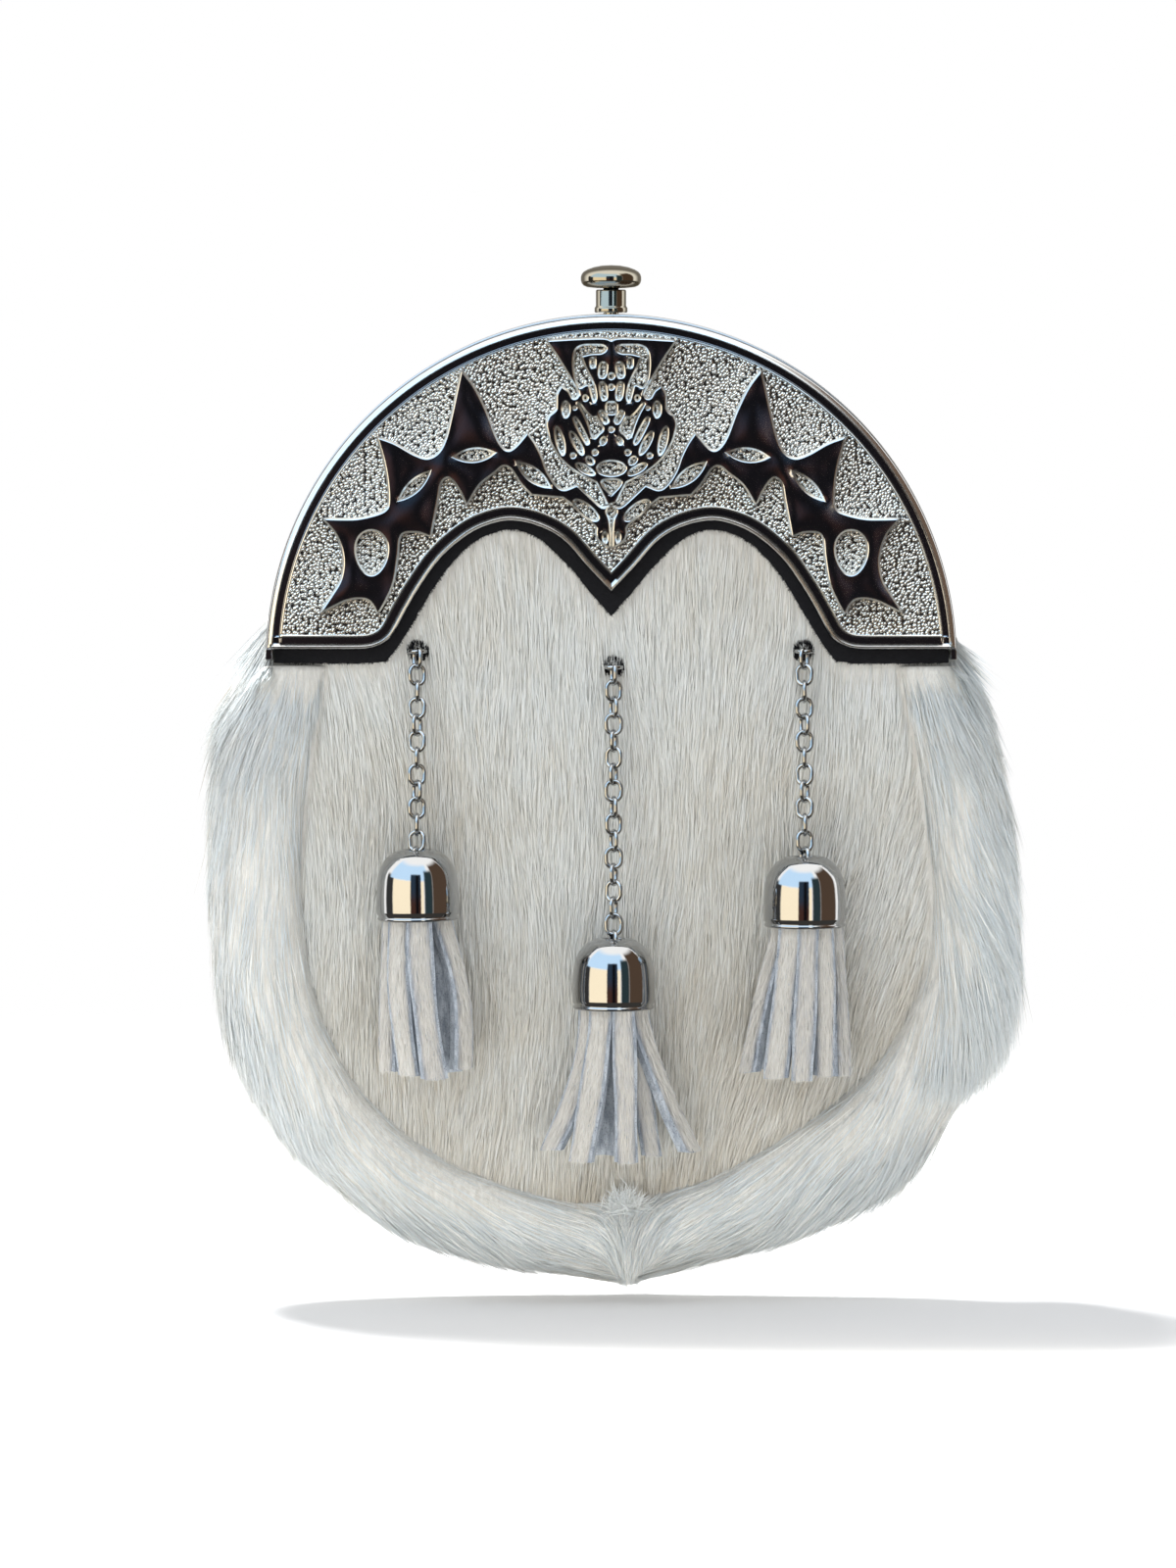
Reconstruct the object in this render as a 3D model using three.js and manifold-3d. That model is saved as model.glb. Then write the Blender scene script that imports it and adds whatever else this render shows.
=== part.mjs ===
// Gate-top dress sporran: a fur-covered hide pouch under a half-round cast cantle, with three hide
// tassels on chains. The part hangs upright: +Z is up, the cantle faces -Y and the wearer is at +Y.
// The origin lies between the two belt loops on the back, where the sporran strap holds the pouch.

import * as THREE from 'three';
import { mergeVertices } from 'three/addons/utils/BufferGeometryUtils.js';
import Module from 'manifold-3d';

const wasm = await Module();
wasm.setup();

// Driving dimensions, in millimetres. Heights count from the centre of the cantle's round edge,
// and depths from the rear face of the back panel, with the front at negative depth.
const clearance = 0.3;
const frameRadius = 75.9;
const cantleFoot = 2.6;
const cantlePlate = 2.2;
const rimWall = 1.4;
const rimBead = 1.2;
const beadHeight = 1.0;
const reliefHeight = 1.3;
const bandProud = 0.4;
const bandDepth = 14.0;
const frameEnd = 0.65;
const earRadius = 3.35;
const hingePinRadius = 1.0;
const feltThickness = 1.6;
const hideThickness = 2.2;
const backThickness = 2.0;
const pouchDepth = 20.0;
const pouchHalfWidth = 89.0;
const pouchDrop = 138.4;
const rollTop = -1.1;
const rollWall = 2.6;
const rollSwell = 7.0;
const backInset = 8.0;
const mitreAcross = 3.7;
const loopSpacing = 48.0;
const loopWidth = 20.0;
const loopStrap = 2.5;
const strapThickness = 5.5;
const strapWidth = 32.0;
const strapHeight = 30.0;
const loopFoot = 8.0;
const loopBend = 2.0;
const knobRadius = 6.7;
const knobHeadHeight = 5.1;
const knobTravel = 3.0;
const rodRadius = 1.7;
const retainerRadius = 3.0;
const retainerHeight = 1.2;
const bossRadius = 3.35;
const bossHeight = 3.8;
const collarRadius = 3.65;
const collarHeight = 1.3;
const linkLength = 5.15;
const linkWidth = 4.2;
const linkWire = 0.78;
const linkFuse = 0.08;
const chainHoleRadius = 2.6;
const chainPinRadius = 0.8;
const chainPinLength = 12.0;
const pinRunning = 0.15;
const furUnderBell = 1.6;
const bellRadius = 9.05;
const bellHeight = 15.5;
const bellWall = 0.8;
const stapleRadius = 1.6;
const stapleWire = 0.9;
const tasselHead = 8.0;
const tasselLength = 36.0;
const stripThickness = 2.2;

// Depths of the layers, worked out from the sizes above.
const panelBack = -(backThickness + pouchDepth);
const panelFace = panelBack - hideThickness;
const feltBack = panelFace - clearance;
const feltFace = feltBack - feltThickness;
const plateBack = feltFace - clearance;
const plateFace = plateBack - cantlePlate;
const rimInner = frameRadius - rimWall;
const bandOuter = frameRadius + bandProud;
const bandInner = bandOuter - rimWall;
const seamDepth = -(bandDepth + clearance / 2);
const earHeight = frameEnd + earRadius;

// Outline of the cantle's lower edge and of the felt below it, from the outside to the middle.
// Both columns are shares of the frame radius.
const cantleEdge = [
  { out: 0.689, up: 0.034 },
  { out: 0.626, up: 0.074 },
  { out: 0.592, up: 0.148 },
  { out: 0.549, up: 0.219 },
  { out: 0.490, up: 0.300 },
  { out: 0.414, up: 0.366 },
  { out: 0.345, up: 0.398 },
  { out: 0.282, up: 0.407 },
  { out: 0.206, up: 0.389 },
  { out: 0.138, up: 0.349 },
  { out: 0.070, up: 0.273 },
  { out: 0.000, up: 0.199 },
];
const feltEdge = [
  { out: 0.970, up: -0.003 },
  { out: 0.689, up: -0.003 },
  { out: 0.640, up: 0.017 },
  { out: 0.592, up: 0.086 },
  { out: 0.530, up: 0.190 },
  { out: 0.461, up: 0.287 },
  { out: 0.379, up: 0.358 },
  { out: 0.289, up: 0.383 },
  { out: 0.206, up: 0.354 },
  { out: 0.124, up: 0.278 },
  { out: 0.055, up: 0.196 },
  { out: 0.000, up: 0.133 },
];

// Stations of the fur rolls, from the frame down to the mitre at the tip. The seam is where a roll
// meets the front panel and the rim is its outer edge. Columns ending in Out are shares of the
// pouch's half width, those ending in Down shares of its drop, and swell is a share of the roll swell.
const leftRoll = [
  { seamOut: 0.705, seamDown: 0.000, rimOut: 0.910, rimDown: 0.000, swell: 0.55 },
  { seamOut: 0.719, seamDown: 0.050, rimOut: 0.955, rimDown: 0.050, swell: 0.85 },
  { seamOut: 0.739, seamDown: 0.117, rimOut: 0.979, rimDown: 0.115, swell: 1.00 },
  { seamOut: 0.762, seamDown: 0.235, rimOut: 0.998, rimDown: 0.240, swell: 1.00 },
  { seamOut: 0.766, seamDown: 0.360, rimOut: 1.000, rimDown: 0.385, swell: 1.00 },
  { seamOut: 0.739, seamDown: 0.505, rimOut: 0.977, rimDown: 0.551, swell: 1.00 },
  { seamOut: 0.676, seamDown: 0.620, rimOut: 0.902, rimDown: 0.678, swell: 1.00 },
  { seamOut: 0.588, seamDown: 0.702, rimOut: 0.791, rimDown: 0.786, swell: 1.00 },
  { seamOut: 0.435, seamDown: 0.783, rimOut: 0.588, rimDown: 0.896, swell: 0.95 },
  { seamOut: 0.267, seamDown: 0.832, rimOut: 0.355, rimDown: 0.957, swell: 0.90 },
  { seamOut: 0.100, seamDown: 0.860, rimOut: 0.115, rimDown: 0.985, swell: 0.80 },
  { seamOut: -0.040, seamDown: 0.855, rimOut: -0.040, rimDown: 1.000, swell: 0.65 },
];
const rightRoll = [
  { seamOut: 0.712, seamDown: 0.000, rimOut: 0.890, rimDown: 0.000, swell: 0.55 },
  { seamOut: 0.726, seamDown: 0.040, rimOut: 0.920, rimDown: 0.044, swell: 0.85 },
  { seamOut: 0.747, seamDown: 0.100, rimOut: 0.950, rimDown: 0.110, swell: 1.00 },
  { seamOut: 0.774, seamDown: 0.206, rimOut: 0.985, rimDown: 0.215, swell: 1.00 },
  { seamOut: 0.796, seamDown: 0.340, rimOut: 1.010, rimDown: 0.360, swell: 1.00 },
  { seamOut: 0.790, seamDown: 0.450, rimOut: 1.012, rimDown: 0.490, swell: 1.00 },
  { seamOut: 0.750, seamDown: 0.540, rimOut: 0.985, rimDown: 0.600, swell: 1.00 },
  { seamOut: 0.676, seamDown: 0.620, rimOut: 0.900, rimDown: 0.695, swell: 1.00 },
  { seamOut: 0.553, seamDown: 0.700, rimOut: 0.730, rimDown: 0.812, swell: 1.00 },
  { seamOut: 0.387, seamDown: 0.774, rimOut: 0.500, rimDown: 0.900, swell: 0.95 },
  { seamOut: 0.219, seamDown: 0.828, rimOut: 0.260, rimDown: 0.957, swell: 0.85 },
  { seamOut: 0.040, seamDown: 0.855, rimOut: 0.040, rimDown: 1.000, swell: 0.65 },
];

// Cross section of a roll, from the front seam over the swell and round to the back. across is a
// share of the roll's width, deep a share of the way from the crest to the rear face.
const rollSection = [
  { across: 0.09, deep: 0.09 },
  { across: 0.29, deep: 0.01 },
  { across: 0.53, deep: 0.00 },
  { across: 0.79, deep: 0.12 },
  { across: 0.95, deep: 0.34 },
  { across: 1.00, deep: 0.58 },
  { across: 0.92, deep: 0.84 },
  { across: 0.70, deep: 1.00 },
];

// Pointed lobes of the leaf cluster on the left; the right one mirrors it. All columns are shares
// of the frame radius, and out counts from the middle.
const leafLobes = [
  { rootOut: 0.400, rootUp: 0.500, tipOut: 0.430, tipUp: 0.838, breadth: 0.130 },
  { rootOut: 0.330, rootUp: 0.510, tipOut: 0.240, tipUp: 0.662, breadth: 0.085 },
  { rootOut: 0.180, rootUp: 0.480, tipOut: 0.530, tipUp: 0.600, breadth: 0.130 },
  { rootOut: 0.440, rootUp: 0.610, tipOut: 0.680, tipUp: 0.420, breadth: 0.140 },
  { rootOut: 0.560, rootUp: 0.480, tipOut: 0.671, tipUp: 0.645, breadth: 0.100 },
  { rootOut: 0.640, rootUp: 0.330, tipOut: 0.825, tipUp: 0.415, breadth: 0.110 },
  { rootOut: 0.640, rootUp: 0.400, tipOut: 0.833, tipUp: 0.142, breadth: 0.140 },
  { rootOut: 0.700, rootUp: 0.360, tipOut: 0.674, tipUp: 0.151, breadth: 0.120 },
  { rootOut: 0.010, rootUp: 0.390, tipOut: 0.260, tipUp: 0.560, breadth: 0.090 },
];
const leafHollows = [
  { rootOut: 0.335, rootUp: 0.596, tipOut: 0.460, tipUp: 0.602, breadth: 0.038 },
  { rootOut: 0.524, rootUp: 0.556, tipOut: 0.616, tipUp: 0.466, breadth: 0.038 },
  { rootOut: 0.686, rootUp: 0.395, tipOut: 0.700, tipUp: 0.250, breadth: 0.100 },
];

// Half outline of the thistle head, stem and crown, from the base of the stem to the crown's middle.
const thistleOutline = [
  { out: 0.000, up: 0.305 },
  { out: 0.030, up: 0.350 },
  { out: 0.045, up: 0.520 },
  { out: 0.115, up: 0.560 },
  { out: 0.170, up: 0.600 },
  { out: 0.190, up: 0.665 },
  { out: 0.185, up: 0.700 },
  { out: 0.160, up: 0.730 },
  { out: 0.145, up: 0.790 },
  { out: 0.105, up: 0.780 },
  { out: 0.130, up: 0.860 },
  { out: 0.190, up: 0.932 },
  { out: 0.000, up: 0.925 },
];

// The three drops. out and up give the chain's hole as shares of the frame radius, links counts the
// hanging links, sunk is how far the last one hangs inside the bell and tilt leans the bell, degrees.
const drops = [
  { name: 'left', out: -0.561, up: 0.031, links: 13, sunk: 1.8, tilt: 3 },
  { name: 'centre', out: 0.007, up: -0.015, links: 17, sunk: 0.6, tilt: 0 },
  { name: 'right', out: 0.559, up: 0.031, links: 13, sunk: 0.3, tilt: 0 },
];

// Outer profile of a bell: down is a share of its height, out a share of its radius.
const bellProfile = [
  { down: 0.020, out: 0.50 },
  { down: 0.110, out: 0.74 },
  { down: 0.300, out: 0.93 },
  { down: 0.620, out: 1.00 },
  { down: 1.000, out: 0.95 },
];

// Hide strips of each tassel. root and foot are sideways places as shares of the bell radius, row is
// the place front to back, breadth a share of the bell radius and length a share of the longest.
const strips = {
  left: [
    { root: -0.52, foot: -0.62, row: 0.00, breadth: 0.50, length: 0.95 },
    { root: -0.26, foot: -0.22, row: -0.50, breadth: 0.54, length: 0.98 },
    { root: 0.28, foot: 0.36, row: -0.46, breadth: 0.52, length: 1.00 },
    { root: 0.52, foot: 1.08, row: 0.05, breadth: 0.52, length: 0.97 },
    { root: -0.28, foot: -0.40, row: 0.50, breadth: 0.52, length: 0.96 },
    { root: 0.28, foot: 0.62, row: 0.50, breadth: 0.52, length: 0.99 },
  ],
  centre: [
    { root: -0.52, foot: -1.62, row: 0.00, breadth: 0.48, length: 0.93 },
    { root: -0.28, foot: -0.70, row: -0.50, breadth: 0.52, length: 1.00 },
    { root: 0.28, foot: 0.52, row: -0.50, breadth: 0.52, length: 1.00 },
    { root: 0.52, foot: 1.80, row: 0.00, breadth: 0.46, length: 0.95 },
    { root: -0.28, foot: -0.28, row: 0.48, breadth: 0.50, length: 0.98 },
    { root: 0.28, foot: 0.16, row: 0.50, breadth: 0.50, length: 0.97 },
  ],
  right: [
    { root: -0.52, foot: -1.36, row: 0.05, breadth: 0.50, length: 0.97 },
    { root: -0.28, foot: -0.62, row: -0.48, breadth: 0.54, length: 1.00 },
    { root: 0.26, foot: 0.02, row: -0.50, breadth: 0.54, length: 1.01 },
    { root: 0.52, foot: 0.70, row: 0.00, breadth: 0.50, length: 0.99 },
    { root: -0.28, foot: -0.84, row: 0.50, breadth: 0.50, length: 0.97 },
    { root: 0.28, foot: 0.32, row: 0.50, breadth: 0.50, length: 0.98 },
  ],
};

// How finely round shapes are cut.
const arcSteps = 28;
const rollSteps = 12;
const ringSides = 10;
const wireSides = 5;
const turnedSides = 12;

// Meshes and solids
function closedMesh(points, triangles) {
  const geometry = new THREE.BufferGeometry();
  geometry.setAttribute('position', new THREE.Float32BufferAttribute(points, 3));
  geometry.setIndex(triangles);
  return geometry;
}

function solidOf(geometry) {
  const bare = geometry.clone();
  bare.deleteAttribute('normal');
  bare.deleteAttribute('uv');
  const merged = mergeVertices(bare, 1e-4);
  const solid = new wasm.Manifold(new wasm.Mesh({
    numProp: 3,
    vertProperties: Float32Array.from(merged.attributes.position.array),
    triVerts: Uint32Array.from(merged.index.array),
  }));
  return solid;
}

function geometryOf(solid) {
  const mesh = solid.getMesh();
  const geometry = closedMesh(Array.from(mesh.vertProperties), Array.from(mesh.triVerts));
  geometry.computeVertexNormals();
  return geometry;
}

function joined(geometries) {
  const solids = geometries.map(solidOf);
  return geometryOf(solids.reduce((whole, next) => whole.add(next)));
}

function cutBy(geometry, tools) {
  return geometryOf(tools.map(solidOf).reduce((whole, tool) => whole.subtract(tool), solidOf(geometry)));
}

// A flat piece cut to a shape drawn as the front sees it, between two depths.
function sheetPiece(shape, back, front, curveSegments = arcSteps) {
  const options = { depth: back - front, bevelEnabled: false, curveSegments };
  const geometry = new THREE.ExtrudeGeometry(shape, options);
  geometry.rotateX(Math.PI / 2);
  geometry.translate(0, back, 0);
  return geometry;
}

// A body lofted through rings of equal count. The outline of the end rings is triangulated flat.
function lofted(rings, endOutline) {
  const count = rings[0].length;
  const points = rings.flatMap((ring) => ring.flatMap((p) => [p.x, p.y, p.z]));
  const triangles = [];
  for (let ring = 0; ring + 1 < rings.length; ring += 1) {
    for (let i = 0; i < count; i += 1) {
      const a = ring * count + i;
      const b = ring * count + (i + 1) % count;
      triangles.push(a, b, b + count, a, b + count, a + count);
    }
  }
  const last = (rings.length - 1) * count;
  for (const [a, b, c] of THREE.ShapeUtils.triangulateShape(endOutline, [])) {
    triangles.push(a, c, b);
    triangles.push(last + a, last + b, last + c);
  }
  return outward(closedMesh(points, triangles));
}

// Turns every face over where the mesh encloses a negative volume.
function outward(geometry) {
  const p = geometry.attributes.position;
  const index = geometry.index.array;
  const [a, b, c] = [new THREE.Vector3(), new THREE.Vector3(), new THREE.Vector3()];
  let volume = 0;
  for (let i = 0; i < index.length; i += 3) {
    a.fromBufferAttribute(p, index[i]);
    b.fromBufferAttribute(p, index[i + 1]);
    c.fromBufferAttribute(p, index[i + 2]);
    volume += a.dot(b.cross(c));
  }
  if (volume < 0) {
    for (let i = 0; i < index.length; i += 3) {
      [index[i], index[i + 1]] = [index[i + 1], index[i]];
    }
  }
  return geometry;
}

// A closed ring of wire along a list of centres that all lie in the XZ plane.
function wireRing(centres, wire, sides) {
  const points = [];
  const triangles = [];
  const count = centres.length;
  for (let i = 0; i < count; i += 1) {
    const ahead = centres[(i + 1) % count].clone().sub(centres[(i + count - 1) % count]).normalize();
    const outside = new THREE.Vector3(ahead.z, 0, -ahead.x);
    for (let j = 0; j < sides; j += 1) {
      const turn = Math.PI + (2 * Math.PI * j) / sides;
      const p = centres[i].clone().addScaledVector(outside, Math.cos(turn) * wire / 2);
      points.push(p.x, p.y + Math.sin(turn) * wire / 2, p.z);
      const a = i * sides + j;
      const b = i * sides + (j + 1) % sides;
      const next = ((i + 1) % count) * sides;
      triangles.push(a, b, next + (j + 1) % sides, a, next + (j + 1) % sides, next + j);
    }
  }
  return outward(closedMesh(points, triangles));
}

// A rod along X.
function crossRod(radius, length, x, y, z, sides = 12) {
  const geometry = new THREE.CylinderGeometry(radius, radius, length, sides);
  geometry.rotateZ(Math.PI / 2);
  geometry.translate(x, y, z);
  return geometry;
}

// A turned piece about the Z axis, from profile rows that close on themselves or on the axis.
function turned(profile, sides = turnedSides) {
  const geometry = new THREE.LatheGeometry(profile, sides);
  geometry.deleteAttribute('normal');
  geometry.deleteAttribute('uv');
  geometry.rotateX(Math.PI / 2);
  return geometryOf(solidOf(outward(mergeVertices(geometry, 1e-4))));
}

// Outlines drawn as the front sees them
function shapeThrough(points) {
  return new THREE.Shape(points.map((p) => new THREE.Vector2(p.x, p.y)));
}

function arcPoints(radius, fromHeight, steps = arcSteps) {
  const start = Math.asin(fromHeight / radius);
  const sweep = Math.PI - 2 * start;
  const turn = (i) => start + (sweep * i) / steps;
  return Array.from({ length: steps + 1 }, (_, i) => (
    new THREE.Vector2(radius * Math.cos(turn(i)), radius * Math.sin(turn(i)))
  ));
}

// A table of { out, up } rows becomes the whole edge from the left side to the right.
function mirroredEdge(rows) {
  const left = rows.map(({ out, up }) => new THREE.Vector2(-out * frameRadius, up * frameRadius));
  const right = left.slice(0, -1).reverse().map((p) => new THREE.Vector2(-p.x, p.y));
  return [...left, ...right];
}

function ringSector(outer, inner, fromHeight) {
  return shapeThrough([...arcPoints(outer, fromHeight), ...arcPoints(inner, fromHeight).reverse()]);
}

// A pointed leaf from a root to a tip.
function leafShape({ rootOut, rootUp, tipOut, tipUp, breadth }, side) {
  const root = new THREE.Vector2(side * rootOut, rootUp).multiplyScalar(frameRadius);
  const tip = new THREE.Vector2(side * tipOut, tipUp).multiplyScalar(frameRadius);
  const along = tip.clone().sub(root);
  const across = new THREE.Vector2(-along.y, along.x).normalize();
  const belly = root.clone().addScaledVector(along, 0.42);
  const swing = breadth * frameRadius;
  const shape = new THREE.Shape();
  shape.moveTo(root.x, root.y);
  shape.quadraticCurveTo(belly.x - across.x * swing, belly.y - across.y * swing, tip.x, tip.y);
  shape.quadraticCurveTo(belly.x + across.x * swing, belly.y + across.y * swing, root.x, root.y);
  return shape;
}

// Stations of a roll as places in the front view, evenly resampled. side is -1 left and 1 right.
function rollStations(rows, side) {
  const mitre = mitreAcross + side * clearance / 2;
  const place = (out, down, last) => new THREE.Vector3(
    last ? mitre : side * out * pouchHalfWidth,
    rollTop - down * (pouchDrop + rollTop),
    0,
  );
  const lastRow = rows.length - 1;
  const curve = (out, down) => (
    new THREE.CatmullRomCurve3(rows.map((row, i) => place(row[out], row[down], i === lastRow)))
  );
  const seam = curve('seamOut', 'seamDown');
  const rim = curve('rimOut', 'rimDown');
  return Array.from({ length: rollSteps + 1 }, (_, i) => {
    const t = i / rollSteps;
    const row = Math.min(Math.floor(t * lastRow), lastRow - 1);
    const swell = THREE.MathUtils.lerp(rows[row].swell, rows[row + 1].swell, t * lastRow - row);
    return { seam: seam.getPoint(t), rim: rim.getPoint(t), swell };
  });
}

const stations = { left: rollStations(leftRoll, -1), right: rollStations(rightRoll, 1) };

// The point of a station at a distance from its seam, measured towards the rim.
function besideSeam({ seam, rim }, distance) {
  const ahead = rim.clone().sub(seam).normalize();
  return new THREE.Vector2(seam.x + ahead.x * distance, seam.y + ahead.y * distance);
}

// A pouch wall: round inside the frame, and along the rolls' seams below it.
function wallOutline(upperRadius, beyondSeam) {
  const ledge = rollTop + clearance;
  const right = stations.right.map((station) => besideSeam(station, beyondSeam));
  const left = stations.left.map((station) => besideSeam(station, beyondSeam));
  return [
    ...arcPoints(upperRadius, ledge),
    new THREE.Vector2(left[0].x, ledge),
    ...left,
    ...right.reverse(),
    new THREE.Vector2(right[right.length - 1].x, ledge),
  ];
}

// The cross section of a roll at one station: the outer skin, and the skin one wall inside it.
function rollOutline({ seam, rim, swell }) {
  const width = rim.distanceTo(seam);
  const crest = panelFace - swell * rollSwell;
  const outer = rollSection.map(({ across, deep }) => (
    new THREE.Vector2(across * width, crest * (1 - deep))
  ));
  const whole = [new THREE.Vector2(0, panelFace), ...outer, new THREE.Vector2(backInset, 0)];
  const inner = outer.map((p, i) => {
    const ahead = whole[i + 2].clone().sub(whole[i]).normalize();
    return new THREE.Vector2(p.x - ahead.y * rollWall, p.y + ahead.x * rollWall);
  });
  const rearHem = new THREE.Vector2(backInset, -backThickness);
  const frontHem = new THREE.Vector2(0, panelBack);
  return { whole, inner: inner.reverse(), rearHem, frontHem };
}

function placedSection(station, outline) {
  const ahead = station.rim.clone().sub(station.seam).normalize();
  return outline.map((p) => new THREE.Vector3(
    station.seam.x + ahead.x * p.x,
    p.y,
    station.seam.y + ahead.y * p.x,
  ));
}

function fullSection(station) {
  const { whole, rearHem, frontHem } = rollOutline(station);
  return [...whole, rearHem, frontHem];
}

function hollowSection(station) {
  const { whole, inner, rearHem, frontHem } = rollOutline(station);
  return [...whole, rearHem, ...inner, frontHem];
}

function roll(side) {
  const list = stations[side];
  const skin = lofted(list.map((s) => placedSection(s, hollowSection(s))), hollowSection(list[0]));
  const top = list[0];
  const share = rollWall / top.seam.distanceTo(list[1].seam);
  const below = {
    seam: top.seam.clone().lerp(list[1].seam, share),
    rim: top.rim.clone().lerp(list[1].rim, share),
    swell: THREE.MathUtils.lerp(top.swell, list[1].swell, share),
  };
  const ends = [top, below].map((s) => placedSection(s, fullSection(s)));
  return joined([skin, lofted(ends, fullSection(top))]);
}

// Pouch walls
function chainHole(drop) {
  return new THREE.Vector2(drop.out, drop.up).multiplyScalar(frameRadius);
}

function frontPanel() {
  const shape = shapeThrough(wallOutline(rimInner - clearance, -clearance));
  for (const drop of drops) {
    const centre = chainHole(drop);
    shape.holes.push(new THREE.Path().absarc(centre.x, centre.y, chainHoleRadius, 0, 2 * Math.PI, true));
  }
  return sheetPiece(shape, panelBack, panelFace, 6);
}

function backPanel() {
  const shape = shapeThrough(wallOutline(bandInner - clearance, backInset - clearance));
  return sheetPiece(shape, 0, -backThickness);
}

function cantleBacking() {
  const radius = rimInner - clearance;
  const edge = mirroredEdge(feltEdge);
  const outline = [...arcPoints(radius, edge[0].y), ...edge];
  return sheetPiece(shapeThrough(outline), feltBack, feltFace);
}

function beltLoop(side) {
  const inside = strapThickness;
  const outside = strapThickness + loopStrap;
  const half = strapWidth / 2;
  const reach = half + loopStrap;
  const end = reach + loopFoot;
  const shape = new THREE.Shape();
  shape.moveTo(clearance, end);
  shape.lineTo(clearance + loopStrap, end);
  shape.lineTo(clearance + loopStrap, reach);
  shape.lineTo(outside - loopBend, reach);
  shape.quadraticCurveTo(outside, reach, outside, reach - loopBend);
  shape.lineTo(outside, loopBend - reach);
  shape.quadraticCurveTo(outside, -reach, outside - loopBend, -reach);
  shape.lineTo(clearance + loopStrap, -reach);
  shape.lineTo(clearance + loopStrap, -end);
  shape.lineTo(clearance, -end);
  shape.lineTo(clearance, -half);
  shape.lineTo(inside, -half);
  shape.lineTo(inside, half);
  shape.lineTo(clearance, half);
  const geometry = new THREE.ExtrudeGeometry(shape, {
    depth: loopWidth,
    bevelEnabled: false,
    curveSegments: 3,
  });
  geometry.rotateY(Math.PI / 2);
  geometry.rotateX(Math.PI / 2);
  geometry.translate(side * loopSpacing / 2 - loopWidth / 2, 0, strapHeight);
  return geometry;
}

// Metal frame
function earDisc(radius, inner, side) {
  const middle = side * (inner + rimWall / 2);
  return crossRod(radius, rimWall, middle, seamDepth, earHeight);
}

function pinBore(side) {
  return crossRod(hingePinRadius + clearance, 4 * rimWall, side * bandInner, seamDepth, earHeight);
}

function hingePin(side) {
  const length = 2 * rimWall + 2 * clearance;
  const middle = side * (bandOuter - length / 2 + clearance / 2);
  return crossRod(hingePinRadius, length, middle, seamDepth, earHeight, 10);
}

function frameBand() {
  const strap = sheetPiece(ringSector(bandOuter, bandInner, frameEnd), 0, -bandDepth);
  const ears = [-1, 1].map((side) => earDisc(earRadius, bandInner, side));
  const rodHole = new THREE.CylinderGeometry(rodRadius + clearance, rodRadius + clearance, 4 * rimWall, 12);
  rodHole.rotateX(Math.PI / 2);
  rodHole.translate(0, -bandDepth / 2, bandInner);
  return cutBy(joined([strap, ...ears]), [pinBore(-1), pinBore(1), rodHole]);
}

// The front ear lies inside the band, whose round wall leans in towards the top of the ear.
function innerEar(side) {
  const face = Math.sqrt(bandInner ** 2 - (frameEnd + 2 * earRadius) ** 2) - clearance - rimWall / 2;
  const disc = crossRod(earRadius, rimWall, side * face, seamDepth, earHeight, 12);
  const reach = earRadius + clearance + rimWall;
  const tab = new THREE.BoxGeometry(rimWall, reach, earRadius * 1.6);
  tab.translate(side * face, seamDepth - reach / 2, earHeight);
  const foot = new THREE.BoxGeometry(2 * rimWall, rimWall / 2, earRadius * 1.6);
  foot.translate(side * (face + rimWall / 2), seamDepth - reach + rimWall / 4, earHeight);
  return joined([disc, tab, foot]);
}

function cantleOutline() {
  return [...arcPoints(frameRadius, cantleFoot), ...mirroredEdge(cantleEdge).map((p) => (
    new THREE.Vector2(p.x, Math.max(p.y, cantleFoot))
  ))];
}

function raised(shape, height, segments = 2) {
  return sheetPiece(shape, plateFace + clearance, plateFace - height, segments);
}

function cantle() {
  const outline = cantleOutline();
  const plate = sheetPiece(shapeThrough(outline), plateBack, plateFace);
  const flange = sheetPiece(ringSector(frameRadius, rimInner, frameEnd), seamDepth - clearance / 2, plateFace);
  const earRoom = [-1, 1].map((side) => (
    crossRod(earRadius + clearance, 4 * rimWall, side * bandOuter, seamDepth, earHeight, 12)
  ));
  const rim = cutBy(flange, earRoom);
  const ears = [-1, 1].map(innerEar);
  const bead = raised(ringSector(frameRadius, frameRadius - rimBead, cantleFoot), beadHeight);
  const hollows = [-1, 1].flatMap((side) => leafHollows.map((row) => raised(leafShape(row, side), 2 * reliefHeight)));
  const leaves = [-1, 1].flatMap((side) => leafLobes.map((row) => raised(leafShape(row, side), reliefHeight)));
  const thistle = raised(shapeThrough(mirroredEdge(thistleOutline)), reliefHeight);
  const floors = cutBy(joined(leaves), hollows);
  const whole = joined([plate, rim, ...ears, bead, floors, thistle]);
  return cutBy(whole, [pinBore(-1), pinBore(1)]);
}

// Knob, with its sliding rod in a boss on top of the frame
const bossFoot = bandOuter + clearance;
const bossTop = bossFoot + collarHeight + bossHeight;
const knobFoot = bossTop + clearance;

function knobBoss() {
  const bore = rodRadius + clearance;
  return turned([
    new THREE.Vector2(bore, bossFoot),
    new THREE.Vector2(collarRadius, bossFoot),
    new THREE.Vector2(collarRadius, bossFoot + collarHeight),
    new THREE.Vector2(bossRadius, bossFoot + collarHeight),
    new THREE.Vector2(bossRadius, bossTop),
    new THREE.Vector2(bore, bossTop),
    new THREE.Vector2(bore, bossFoot),
  ]);
}

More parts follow.
